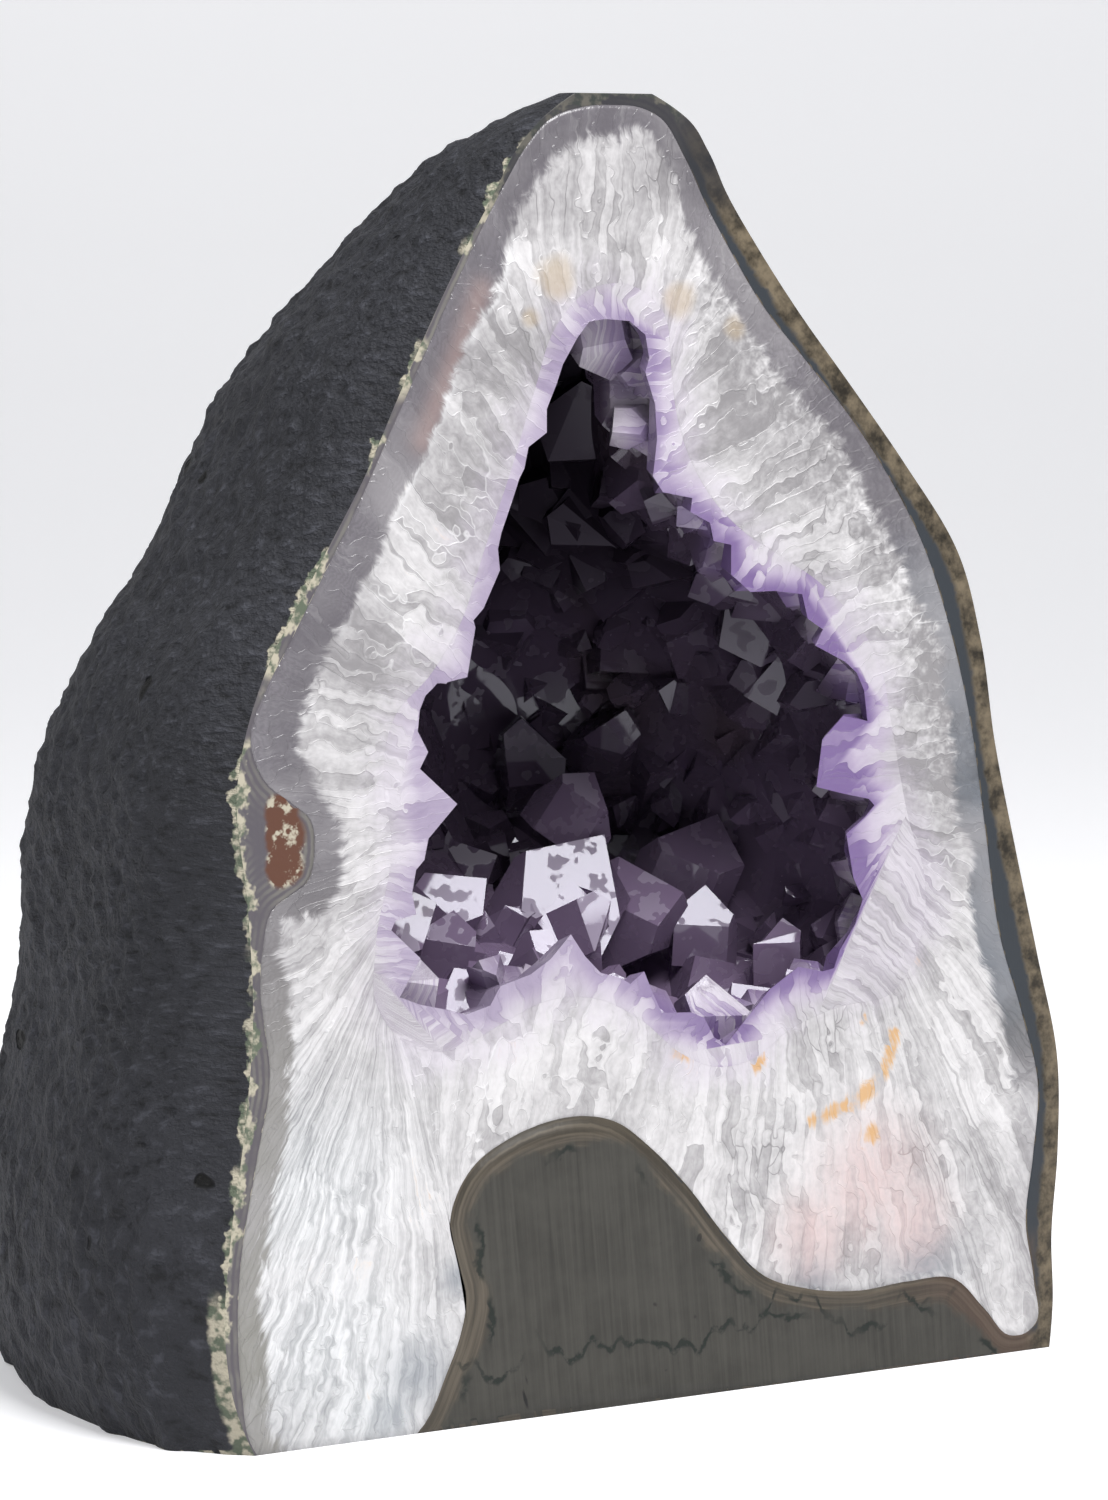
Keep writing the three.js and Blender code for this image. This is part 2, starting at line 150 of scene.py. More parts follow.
# Large crystals by their tip across, back and up, their direction, radius and length.
LARGE_CRYSTALS = np.array([
    [112, 42, 119, 0.4, -0.35, 0.85, 14, 34],
    [96, 36, 111, -0.12, -0.1, 0.98, 9, 26],
    [125, 34, 109, 0.55, -0.75, 0.35, 11, 28],
    [146, 54, 122, 0.3, -0.2, 0.93, 10.7, 28],
    [144, 24, 102, -0.02, -0.05, 0.99, 8.2, 22],
    [158, 13, 108, -0.2, -0.1, 0.9, 6.6, 17],
    [77, 42, 115, 0.45, -0.45, 0.77, 10.5, 22],
    [57, 26, 111, 0.5, -0.6, 0.6, 9.5, 22],
    [47, 12, 101, 0.2, -0.05, 0.9, 5.7, 16],
    [84, 16, 103, 0.3, -0.25, 0.92, 7.4, 18],
    [121, 12, 92, 0, -0.1, 0.99, 8.2, 18],
    [102, 17, 207, 0.1, -0.05, -1, 9, 38],
    [133, 30, 176, -0.75, -0.45, -0.45, 8.2, 18],
    [149, 9, 159, -0.75, -0.35, 0.3, 7.4, 17],
    [149, 10, 139, -0.75, -0.3, 0.3, 7.4, 17],
    [156, 9, 117, -0.7, -0.35, 0.45, 7.4, 17],
    [113, 80, 143, -0.2, -0.6, 0.75, 9.8, 22],
    [130, 70, 146, -0.25, -0.65, 0.65, 9.8, 22],
    [86, 82, 146, 0, -0.6, 0.8, 9, 20],
    [149, 48, 136, -0.6, -0.4, 0.55, 9, 20],
    [92, 12, 224, 0.15, -0.1, -1, 7, 18],
    [110, 10, 214, -0.3, -0.1, -1, 6, 14],
    [66, 34, 108, 0.1, -0.1, 0.98, 8, 18],
    [105, 26, 104, 0.55, -0.7, 0.45, 9.5, 18],
    [135, 40, 108, -0.05, -0.1, 0.98, 8, 18],
    [118, 55, 132, 0.4, -0.4, 0.82, 11, 18],
    [70, 60, 125, 0.5, -0.6, 0.62, 10.5, 18],
])

# Rows of crystals by their turns towards the back, stray, spacing, radii, lengths, lean and depth sunk in.
CRYSTAL_ROWS = (
    ([4], 1, 13, (4, 7), (4, 8), 0.4, 6),
    ([6, 12, 20, 29, 38, 48, 59, 70, 82], 3, 12.5, (6, 12), (4, 11), 0.5, 7),
    ([9, 24, 43, 64], 5, 17, (3.5, 6.5), (8, 14), 0.6, 7),
)


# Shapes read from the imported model.

def node_triangles(name):
    """Corners of a node's triangles, as an array by triangle, corner and axis."""
    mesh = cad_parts[name].data
    mesh.calc_loop_triangles()
    points = np.empty(3 * len(mesh.vertices), np.float32)
    mesh.vertices.foreach_get("co", points)
    corners = np.empty(3 * len(mesh.loop_triangles), np.int32)
    mesh.loop_triangles.foreach_get("vertices", corners)
    return points.reshape(-1, 3).astype(float)[corners].reshape(-1, 3, 3)


def sawn_outlines(name):
    """Closed outlines of a node's sawn face, largest first, clockwise from the front.
    They are the sides that only one triangle of the face has, chained end to end."""
    corners = node_triangles(name)
    flat = corners[(np.abs(corners[:, :, 1] - FACE) < 1e-5).all(1)][:, :, [0, 2]]
    spots, index = np.unique(np.round(flat.reshape(-1, 2), 6), axis=0, return_inverse=True)
    index = index.reshape(-1, 3)
    sides = np.concatenate([index[:, [0, 1]], index[:, [1, 2]], index[:, [2, 0]]])
    _, first, uses = np.unique(np.sort(sides, 1), axis=0, return_index=True, return_counts=True)
    onward = dict(sides[first[uses == 1]].tolist())
    outlines = []
    while onward:
        chain = [next(iter(onward))]
        while chain[-1] in onward:
            chain.append(onward.pop(chain[-1]))
        outlines.append(spots[chain[:-1]])
    ahead = [np.roll(loop, -1, axis=0) for loop in outlines]
    areas = [0.5 * np.sum(a[:, 0] * b[:, 1] - b[:, 0] * a[:, 1]) for a, b in zip(outlines, ahead)]
    turned = [loop[::-1] if area > 0 else loop for loop, area in zip(outlines, areas)]
    order = np.argsort(-np.abs(areas))
    return [turned[k] for k in order]


def level_section(corners, height, rays):
    """Outer edge of a node at a height: along each ray from the middle of the front, the furthest
    crossing with the cut through the node's triangles."""
    above = corners[:, :, 2] - height
    low = above < 0
    mixed = low.any(1) & ~low.all(1)
    corners, above, low = corners[mixed], above[mixed], low[mixed]
    lone = np.where(low.sum(1) == 1, low.argmax(1), low.argmin(1))
    rows = np.arange(len(lone))
    ends = []
    for step in (1, 2):
        other = (lone + step) % 3
        share = above[rows, lone] / (above[rows, lone] - above[rows, other])
        start = corners[rows, lone, :2]
        ends.append(start + (corners[rows, other, :2] - start) * share[:, None])
    a, b = ends
    front = np.concatenate(ends)
    front = front[np.abs(front[:, 1] - FACE) < 1e-5, 0]
    middle = np.array([(front.min() + front.max()) / 2, FACE])
    way = np.stack([np.cos(rays), np.sin(rays)], 1)
    along = b - a
    from_middle = a - middle
    across = way[:, None, 0] * along[None, :, 1] - way[:, None, 1] * along[None, :, 0]
    safe = np.where(np.abs(across) < 1e-12, 1, across)
    far = (from_middle[:, 0] * along[:, 1] - from_middle[:, 1] * along[:, 0])[None] / safe
    place = (from_middle[None, :, 0] * way[:, None, 1] - from_middle[None, :, 1] * way[:, None, 0]) / safe
    hit = (np.abs(across) > 1e-12) & (place > -1e-4) & (place < 1 + 1e-4)
    reach = np.where(hit, far, 0).max(1)
    reach[0] = middle[0] - front.min()
    reach[-1] = front.max() - middle[0]
    return middle + way * reach[:, None]


# Curves and noise.

def curve_through(at, values, wanted):
    """Smooth curve through values known at rising places: cubic pieces whose slopes are those of the
    parabola through each three neighbours."""
    slope = np.gradient(values, at, axis=0, edge_order=2)
    k = np.clip(np.searchsorted(at, wanted, "right") - 1, 0, len(at) - 2)
    shape = (-1,) + (1,) * (values.ndim - 1)
    step = (at[k + 1] - at[k]).reshape(shape)
    u = (wanted - at[k]).reshape(shape) / step
    rise = u * u * (3 - 2 * u)
    bend = u * (1 - u) * step * ((1 - u) * slope[k] - u * slope[k + 1])
    return values[k] * (1 - rise) + values[k + 1] * rise + bend


def lengths_along(points):
    """Length along a chain of points, from 0 at its first."""
    return np.concatenate([[0], np.cumsum(np.linalg.norm(np.diff(points, axis=0), axis=1))])


def at_lengths(points, wanted):
    """Points of a chain at the wanted lengths along it."""
    have = lengths_along(points)
    return np.stack([np.interp(wanted, have, points[:, k]) for k in range(points.shape[1])], 1)


def even_curve(points, count, closed=False):
    """Evenly spaced points of the smooth curve through the given ones."""
    if closed:
        points = np.concatenate([points[-3:], points, points[:4]])
    at = lengths_along(points)
    start, end = (at[3], at[-4]) if closed else (0, at[-1])
    fine = curve_through(at, points, np.linspace(start, end, 12 * count))
    total = lengths_along(fine)[-1]
    return at_lengths(fine, np.linspace(0, total, count, endpoint=not closed))


def softened(values, sigma):
    """Gaussian blur along the first axis that keeps both ends where they are."""
    reach = int(3 * sigma)
    before = 2 * values[:1] - values[reach:0:-1]
    after = 2 * values[-1:] - values[-2:-reach - 2:-1]
    long = np.concatenate([before, values, after])
    steps = np.arange(-reach, reach + 1)
    weights = np.exp(-0.5 * (steps / sigma) ** 2)
    weights /= weights.sum()
    return sum(w * long[reach + s:reach + s + len(values)] for w, s in zip(weights, steps))


SLOPES = np.random.default_rng(11).normal(size=(256, 3))
SLOPES /= np.linalg.norm(SLOPES, axis=1, keepdims=True)


def noise(points, size, seed):
    """Smooth noise of about -1 to 1: in cells of the given size, the slopes held at the eight corners
    are blended by a fifth-degree ease."""
    place = points / size
    cell = np.floor(place).astype(np.int64)
    inside = place - cell
    ease = inside ** 3 * (inside * (inside * 6 - 15) + 10)
    total = np.zeros(points.shape[:-1])
    for corner in np.ndindex(2, 2, 2):
        key = (cell + corner) @ np.array([374761393, 668265263, 1274126177]) + seed * 144665
        key = (key ^ (key >> 13)) * 1103515245
        slope = SLOPES[(key >> 16) & 255]
        weight = np.where(corner, ease, 1 - ease).prod(-1)
        total += weight * ((inside - corner) * slope).sum(-1)
    return 1.7 * total


def smoothstep(low, high, value):
    """Eases from 0 at low to 1 at high."""
    u = np.clip((value - low) / (high - low), 0, 1)
    return u * u * (3 - 2 * u)


def nearest_in(chain, points):
    """Numbers of the points of a chain that are nearest to the given points."""
    parts = [((part[:, None] - chain[None]) ** 2).sum(-1).argmin(1) for part in np.array_split(points, 64)]
    return np.concatenate(parts)


def distance_to(points, chain):
    """Distance of each point to the nearest point of a chain."""
    return np.linalg.norm(points - chain[nearest_in(chain, points)], axis=1)


def full_turn(loop):
    """A loop with its first point again at its end."""
    return np.concatenate([loop, loop[:1]])


def along_vein(flat, chain, width):
    """1 on a chain of places on the sawn face, falling as a bell over its width in millimetres."""
    fine = at_lengths(chain, np.linspace(0, lengths_along(chain)[-1], 60))
    return np.exp(-(distance_to(flat, face_place(fine)) / (width * MM)) ** 2)


def in_spots(flat, spots):
    """1 at the middle of spots on the sawn face, falling as a bell over their radii."""
    away = np.linalg.norm(flat[:, None] - face_place(spots[:, :2])[None], axis=2) / (spots[:, 2] * MM)
    return np.exp(-away ** 2).max(1)


# Meshes from arrays.

def grid_faces(rows, columns, first=0, closed=False):
    """Quads between neighbouring rows of a grid whose points are numbered row by row."""
    across = columns if closed else columns - 1
    r, c = np.meshgrid(np.arange(rows - 1), np.arange(across), indexing="ij")
    here, beside = r * columns + c, r * columns + (c + 1) % columns
    quads = np.stack([here, beside, beside + columns, here + columns], -1)
    return quads.reshape(-1, 4) + first


def carry(mesh, name, values):
    """Puts a value on each point of a mesh, for its material to read."""
    layer = mesh.attributes.new(name, "FLOAT", "POINT")
    layer.data.foreach_set("value", values.astype(np.float32))


class Patches:
    """Collects grids and flat faces of one piece, with the values that its materials read."""

    def __init__(self):
        self.points = []
        self.faces = []
        self.slots = []
        self.values = {}
        self.count = 0

    def add(self, points, faces, slot=0, **values):
        """Adds points with faces numbered from the first of them, and returns that first number."""
        points = points.reshape(-1, 3)
        for key in dict.fromkeys([*self.values, *values]):
            column = self.values.setdefault(key, [np.zeros(self.count)] if self.count else [])
            value = values.get(key)
            column.append(np.zeros(len(points)) if value is None else np.asarray(value, float).ravel())
        first = self.count
        self.points.append(points)
        self.faces += [np.asarray(face) + first for face in faces]
        self.slots += [slot] * len(faces)
        self.count += len(points)
        return first

    def mesh(self, name):
        """The mesh, with touching points merged and its faces turned outwards."""
        mesh = bpy.data.meshes.new(name)
        points = np.concatenate(self.points)
        groups = [np.atleast_2d(face) for face in self.faces]
        corners = np.concatenate([group.ravel() for group in groups])
        sizes = np.concatenate([np.full(len(group), group.shape[1]) for group in groups])
        slots = np.concatenate([np.full(len(group), slot) for group, slot in zip(groups, self.slots)])
        mesh.vertices.add(len(points))
        mesh.vertices.foreach_set("co", points.astype(np.float32).ravel())
        mesh.loops.add(len(corners))
        mesh.loops.foreach_set("vertex_index", corners.astype(np.int32))
        mesh.polygons.add(len(sizes))
        starts = np.concatenate([[0], np.cumsum(sizes)[:-1]])
        mesh.polygons.foreach_set("loop_start", starts.astype(np.int32))
        mesh.polygons.foreach_set("material_index", slots.astype(np.int32))
        mesh.update(calc_edges=True)
        for key, columns in self.values.items():
            carry(mesh, key, np.concatenate(columns))
        work = bmesh.new()
        work.from_mesh(mesh)
        bmesh.ops.remove_doubles(work, verts=work.verts, dist=2e-6)
        bmesh.ops.dissolve_degenerate(work, edges=work.edges, dist=1e-7)
        bmesh.ops.recalc_face_normals(work, faces=work.faces)
        work.to_mesh(mesh)
        work.free()
        return mesh


def piece(name, mesh, node, materials):
    """Puts a finished mesh into the scene in place of a CAD node."""
    thing = bpy.data.objects.new(name, mesh)
    bpy.context.scene.collection.objects.link(thing)
    for material in materials:
        mesh.materials.append(material)
    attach(thing, "root")
    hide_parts(node)
    return thing


# Shared outlines of the geode, in metres in the frame.

def face_place(places):
    """Places on the sawn face in millimetres as metres in the frame, across and up."""
    return np.asarray(places, float) * MM + np.array([CORNER, 0])


def paired(chain, targets):
    """Lengths along a chain where it passes nearest to each target, kept in rising order."""
    have = lengths_along(chain)
    return np.maximum.accumulate(have[nearest_in(chain, targets)])


ROCK_POINTS = node_triangles("basalt_shell").reshape(-1, 3)
CORNER = ROCK_POINTS[(ROCK_POINTS[:, 1] < FACE + 1e-5) & (ROCK_POINTS[:, 2] < 1e-5), 0].min()
QUARTZ_LOOPS = sawn_outlines("quartz_wall")


def quartz_edge():
    """Outer edge of the quartz on the sawn face, from its left foot over the top to its right foot."""
    loop = QUARTZ_LOOPS[0]
    foot = np.flatnonzero(loop[:, 1] < 1e-5)
    start = foot[loop[foot, 0].argmin()]
    return even_curve(np.roll(loop, -start, axis=0), 1200)


def crust_edge():
    """Root of the crust on the sawn face, clockwise from its lower left."""
    curve = even_curve(QUARTZ_LOOPS[1], 1200, closed=True)
    start = nearest_in(curve, face_place(CRUST_START))[0]
    return np.roll(curve, -start, axis=0)


def taper(back, depth, power):
    """Share of its width that a room keeps at a distance behind the face: a superellipse."""
    return np.maximum(1 - (back / depth) ** power, 0) ** (1 / power)


def behind(flat, back):
    """Places across and up as points at a distance behind the sawn face."""
    return np.stack([flat[..., 0], FACE + back + 0 * flat[..., 0], flat[..., 1]], -1)


def quartz_room(edge, stops):
    """An edge of the quartz drawn in towards the back, as one ring for each distance behind the face: to
    the middle across and to the foot upwards, by a superellipse each."""
    across = taper(stops, QUARTZ_DEPTH * MM, QUARTZ_POWERS[0])[:, None]
    up = taper(stops, QUARTZ_DEPTH * MM, QUARTZ_POWERS[1])[:, None]
    middle = CORNER + QUARTZ_MIDDLE * MM
    flat = np.stack([middle + (edge[:, 0] - middle) * across, edge[:, 1] * up], -1)
    return behind(flat, stops[:, None])


def shell_skin(rows, columns):
    """Skin of the shell as a grid: level sections of the node, each resampled evenly from the left front
    edge round the back to the right one, joined by smooth curves from the foot to the top."""
    corners = node_triangles("basalt_shell")
    rays = np.linspace(np.pi, 0, 241)
    rings = []
    for level in LEVELS:
        ring = level_section(corners, np.clip(level, 2e-5, TOP - 2e-5), rays)
        total = lengths_along(ring)[-1]
        ring = softened(at_lengths(ring, np.linspace(0, total, columns)), columns / 60)
        rings.append(np.column_stack([ring, np.full(columns, level)]))
    rings = np.stack(rings)
    fine = curve_through(LEVELS, rings, np.linspace(0, TOP, 600))
    steps = np.linalg.norm(np.diff(fine, axis=0), axis=2).mean(1)
    climb = np.concatenate([[0], np.cumsum(steps)])
    heights = np.interp(np.linspace(0, climb[-1], rows), climb, np.linspace(0, TOP, 600))
    return curve_through(LEVELS, rings, heights)


def grid_normals(grid):
    """Unit normals of a grid of points, from the differences to its neighbours."""
    up = np.gradient(grid, axis=0)
    along = np.gradient(grid, axis=1)
    normal = np.cross(along, up)
    return normal / np.maximum(np.linalg.norm(normal, axis=2, keepdims=True), 1e-12)


# Painted rock.

def rough_skin(grid, sizes):
    """The skin with its relief: broad lumps, knobs and slanting ridges of noise along its normals,
    fading to nothing at the sawn edges, and a chipped foot."""
    normal = grid_normals(grid)
    steps = np.linalg.norm(np.diff(grid, axis=1), axis=2)
    around = np.pad(np.cumsum(steps, 1), ((0, 0), (1, 0)))
    edge = np.minimum(around, around[:, -1:] - around)
    height = grid[:, :, 2]
    slant = np.radians(40) + np.radians(45) * smoothstep(0.15, 0.03, height)
    along = -around * np.cos(slant) + height * np.sin(slant)
    across = around * np.sin(slant) + height * np.cos(slant)
    wander = noise(grid, 0.018, 5) * 0.004
    ridge_place = np.stack([along / 3.2, across + wander, 0.4 * grid[:, :, 1]], -1)
    lumps = noise(grid, 0.034, 1) * sizes.lump_height
    lumps = lumps + noise(grid, 0.015, 2) * 0.3 * sizes.lump_height
    knobs = (noise(grid, 0.0046, 3) + 0.6 * noise(grid, 0.0031, 6)) * sizes.knob_height
    ridges = (0.35 - np.abs(noise(ridge_place, 0.0042, 4))) * sizes.ridge_height
    inland = smoothstep(0.0, 0.014, edge)
    fine = smoothstep(0.0, 0.03, edge) * 0.75 + 0.25
    relief = inland * (lumps + fine * (knobs + ridges))
    foot = smoothstep(0, 0.006, height)
    crown = smoothstep(TOP, TOP - 0.004, height)
    chipped = np.maximum(noise(grid * [1, 1, 0.3], 0.011, 8), 0)
    chips = smoothstep(0.01, 0.001, height) * chipped * CHIP_DEPTH * inland
    moved = grid + normal * (relief * foot * crown - chips)[:, :, None]
    moved[:, :, 2] = np.where(height < 1e-6, 0, moved[:, :, 2])
    return moved, edge


def rock_mesh(sizes):
    """The painted shell: its rough skin, the sawn front band between its outline and the quartz, the room
    behind the quartz, and its flat foot."""
    patches = Patches()
    rows, columns = 212, 360
    crown_rows, band_rows, base_columns = 7, 15, 170
    skin, edge = rough_skin(shell_skin(rows, columns), sizes)
    patches.add(skin, [grid_faces(rows, columns)], PAINT, edge=edge, rim=np.full(edge.shape, FAR_RIM))
    # The crown closes the top level on the straight sawn edge in front of it.
    ring = skin[-1]
    share = np.linspace(0, 1, columns)[:, None]
    ridge = ring[0] * (1 - share) + ring[-1] * share
    lift = np.linspace(0, 1, crown_rows)[:, None, None]
    crown = ring[None] * (1 - lift) + ridge[None] * lift
    level = np.ones(crown.shape[:2])
    faces = [grid_faces(crown_rows, columns)]
    patches.add(crown, faces, PAINT, edge=CROWN_EDGE * level, rim=FAR_RIM * level)
    # The front band runs from the outline to the quartz's edge.
    lip = quartz_edge()
    foot_right = np.array([lip[-1, 0], FACE, 0])
    base_share = np.linspace(0, 1, base_columns)[1:, None]
    base = skin[0, -1] * (1 - base_share) + foot_right * base_share
    outline = np.concatenate([skin[:, 0], ridge[1:-1], skin[::-1, -1], base])
    outer_at = paired(outline[:, [0, 2]], face_place(ROCK_PAIRS[:, :2]))
    inner_at = paired(lip, face_place(ROCK_PAIRS[:, 2:]))
    outer_at[-1] = lengths_along(outline)[-1]
    inner_at[-1] = lengths_along(lip)[-1]
    step = np.arange(len(outer_at)) * 1e-9
    inner = at_lengths(lip, np.interp(lengths_along(outline), outer_at + step, inner_at + step))
    share = np.linspace(0, 1, band_rows)[:, None, None]
    band = outline[None] * (1 - share) + behind(inner, 0)[None] * share
    flat = band[:, :, [0, 2]].reshape(-1, 2)
    rim = distance_to(flat, lip)
    border = distance_to(flat, outline[:, [0, 2]])
    marks = {
        "crack": along_vein(flat, ROCK_CRACK, 0.5),
        "plug": in_spots(flat, PLUG_SPOTS),
    }
    patches.add(band, [grid_faces(band_rows, len(outline))], SAWN, edge=border, rim=rim, **marks)
    # The room behind the quartz.
    stops = np.array([0, 1, 22, 50, 78, 102, 120, 134]) * MM
    tangent = np.gradient(inner, axis=0)
    out = np.stack([-tangent[:, 1], tangent[:, 0]], 1)
    out /= np.maximum(np.linalg.norm(out, axis=1, keepdims=True), 1e-12)
    grow = np.where(stops > 0, ROOM_GAP, 0)[:, None]
    room = quartz_room(inner, stops)
    room[:, :, 0] += out[:, 0] * grow
    room[:, :, 2] = np.maximum(room[:, :, 2] + out[:, 1] * grow, 0)
    room[:, [0, -1], 2] = 0
    count = len(inner)
    end = np.arange(count)[None] + (len(stops) - 1) * count
    patches.add(room, [grid_faces(len(stops), count), end], SAWN)
    # The flat foot.
    foot = np.concatenate([skin[0], base, room[1:, -1], room[::-1, 0], band[::-1, 0]])
    keep = np.concatenate([[True], np.linalg.norm(np.diff(foot, axis=0), axis=1) > 1e-7])
    foot = foot[keep][:-1]
    patches.add(foot, [np.arange(len(foot))[None]], FOOT)
    return patches.mesh("rock")


# Quartz.

def facing_pairs():
    """The quartz's outer edge with its foot, the crust's root, and the lengths along both at which places
    of the one face places of the other, once round."""
    lip = quartz_edge()
    base = lip[-1] + (lip[0] - lip[-1]) * np.linspace(0, 1, 60)[1:-1, None]
    edge = at_lengths(lip, np.linspace(0, lengths_along(lip)[-1], 900))
    around = np.concatenate([edge, base])
    root = crust_edge()
    outer_at = paired(edge, face_place(QUARTZ_PAIRS[:, :2]))
    inner_at = paired(root, face_place(QUARTZ_PAIRS[:, 2:]))
    outer_at[0] = 0
    outer_at[-1] = lengths_along(edge)[-1]
    girth = lengths_along(full_turn(root))[-1]
    total = lengths_along(full_turn(around))[-1]
    outer_at = np.append(outer_at, total)
    inner_at = np.append(inner_at, inner_at[0] + girth)
    step = np.arange(len(outer_at)) * 1e-9
    return around, root, outer_at + step, inner_at + step


def quartz_mesh():
    """The quartz wall: its sawn front as straight lines from its outer edge to the root of the crust, its
    outside and its hollow as those edges closing towards the back, and its flat foot."""
    patches = Patches()
    lip = quartz_edge()
    around, root, outer_at, inner_at = facing_pairs()
    loop = np.concatenate([root, root, root[:1]])
    facing = at_lengths(loop, np.interp(lengths_along(around), outer_at, inner_at))
    rows = 40
    share = np.linspace(0, 1, rows)[:, None, None]
    front = around[None] * (1 - share) + facing[None] * share
    flat = front.reshape(-1, 2)
    corner = nearest_in(lip, face_place(RIM_END))[0]
    rim = distance_to(flat, lip[:corner])
    inside = distance_to(flat, root)
    count = len(around)

    at = lengths_along(around)
    edge_root, hollow_rim = inside[:count], rim[-count:]

    def grid(points, more=(), **values):
        """Adds a closed grid whose rows all have the same values."""
        wide = {key: np.tile(value, len(points)) for key, value in values.items()}
        patches.add(points, [grid_faces(len(points), count, closed=True), *more], **wide)

    marks = {
        "orange": np.maximum(along_vein(flat, ORANGE_VEIN, 2.6), in_spots(flat, ORANGE_SPOTS)),
        "blush": along_vein(flat, BLUSH_STREAK, 3.0),
        "sugar": along_vein(flat, SUGAR_BAND, 11),
        "band": along_vein(flat, RIM_BAND, 9),
    }
    spots = {
        "brown": BROWN_SPOTS, "pink": PINK_SPOTS, "ice": ICE_SPOTS, "shade": SHADE_SPOTS,
        "clear": CLEAR_SPOTS, "milk": MILK_SPOTS,
    }
    marks.update({key: in_spots(flat, places) for key, places in spots.items()})
    faces = [grid_faces(rows, count, closed=True)]
    patches.add(behind(front, 0), faces, rim=rim, root=inside, around=np.tile(at, rows), **marks)
    # The outside, closed at the back.
    stops = np.array([0, 12, 22, 36, 50, 64, 78, 92, 102, 112, 120, 128, 134]) * MM
    cap = np.arange(count)[None] + (len(stops) - 1) * count
    grid(quartz_room(around, stops), [cap], around=at, root=edge_root)
    # The hollow.
    turn = np.linspace(0, np.pi / 2, 14)[:, None]
    grid(hollow_wall(facing[None], turn), around=at, rim=hollow_rim)
    return patches.mesh("quartz")


# Amethyst crust.

def hollow_wall(edge, turn):
    """Points of the hollow's wall: the crust's root drawn in to the middle as the turn goes from 0 at the
    face to a quarter circle at the back, along a superellipse."""
    centre = face_place(HOLLOW_MIDDLE)
    share = np.maximum(np.cos(turn), 0) ** (2 / HOLLOW_POWER)
    back = HOLLOW_DEPTH * MM * np.maximum(np.sin(turn), 0) ** (2 / HOLLOW_POWER)
    return behind(centre + (edge - centre) * share[..., None], back)


def crystal_points(roots, ways, radii, lengths, spins, chance):
    """Corners of many crystals: a six-sided prism under a point of three large faces.
    The prism's sides are wide and narrow by turns. Each wide side slopes to the tip as a face of a quartz
    point does, and two of those faces meet in a ridge that ends in the middle of a narrow side.
    With no spin, a wide side is turned so that it mirrors the main light to the front."""
    count = len(roots)
    ways = ways / np.linalg.norm(ways, axis=1, keepdims=True)
    aside = GLINT - (ways @ GLINT)[:, None] * ways
    aside /= np.linalg.norm(aside, axis=1, keepdims=True)
    axes = np.stack([aside, np.cross(ways, aside), ways], 1)
    wide = np.radians(chance.uniform(58, 96, (count, 3)))
    middle = spins[:, None] + np.radians([0, 120, 240]) + chance.uniform(-0.2, 0.2, (count, 3))
    angle = np.stack([middle - wide / 2, middle + wide / 2], 2)
    radius = (radii[:, None] * chance.uniform(0.7, 1.25, (count, 3)))[:, :, None]
    ring = np.stack([np.cos(angle) * radius, np.sin(angle) * radius], -1)
    outward = np.stack([np.cos(middle), np.sin(middle)], -1)
    slope = POINT_DROP * chance.uniform(0.8, 1.2, (count, 3))
    peak = radii[:, None, None] * chance.uniform(-0.38, 0.38, (count, 1, 2))
    fall = slope * ((ring[:, :, 0] - peak) * outward).sum(-1)
    # Where the ridge between two faces crosses the narrow side between them.
    start, end = ring[:, :, 1], np.roll(ring[:, :, 0], -1, axis=1)
    tilt = slope[..., None] * outward
    apart = tilt - np.roll(tilt, -1, axis=1)
    first, last = ((start - peak) * apart).sum(-1), ((end - peak) * apart).sum(-1)
    share = np.clip(first / (first - last), 0.04, 0.96)
    ridge = start + (end - start) * share[..., None]
    ridge_fall = ((ridge - peak) * tilt).sum(-1)
    tall = lengths[:, None]
    floor = 0.05 * tall
    low = np.concatenate([ring.reshape(count, 6, 2), np.zeros((count, 6, 1))], 2)
    high = low + [0, 0, 1] * np.repeat(np.maximum(tall - fall, floor), 2, 1)[..., None]
    ridge = np.concatenate([ridge, np.maximum(tall - ridge_fall, floor)[..., None]], 2)
    tip = np.concatenate([peak, tall[..., None]], 2)
    corners = np.concatenate([low, high, ridge, tip], 1)
    return roots[:, None] + np.einsum("nki,nij->nkj", corners, axes)


CRYSTAL_CORNERS = 16
CRYSTAL_FACES = [
    np.array([[0, 1, 7, 6], [2, 3, 9, 8], [4, 5, 11, 10]]),
    np.array([[1, 2, 8, 12, 7], [3, 4, 10, 13, 9], [5, 0, 6, 14, 11]]),
    np.array([[15, 14, 6, 7, 12], [15, 12, 8, 9, 13], [15, 13, 10, 11, 14]]),
    np.array([[5, 4, 3, 2, 1, 0]]),
]


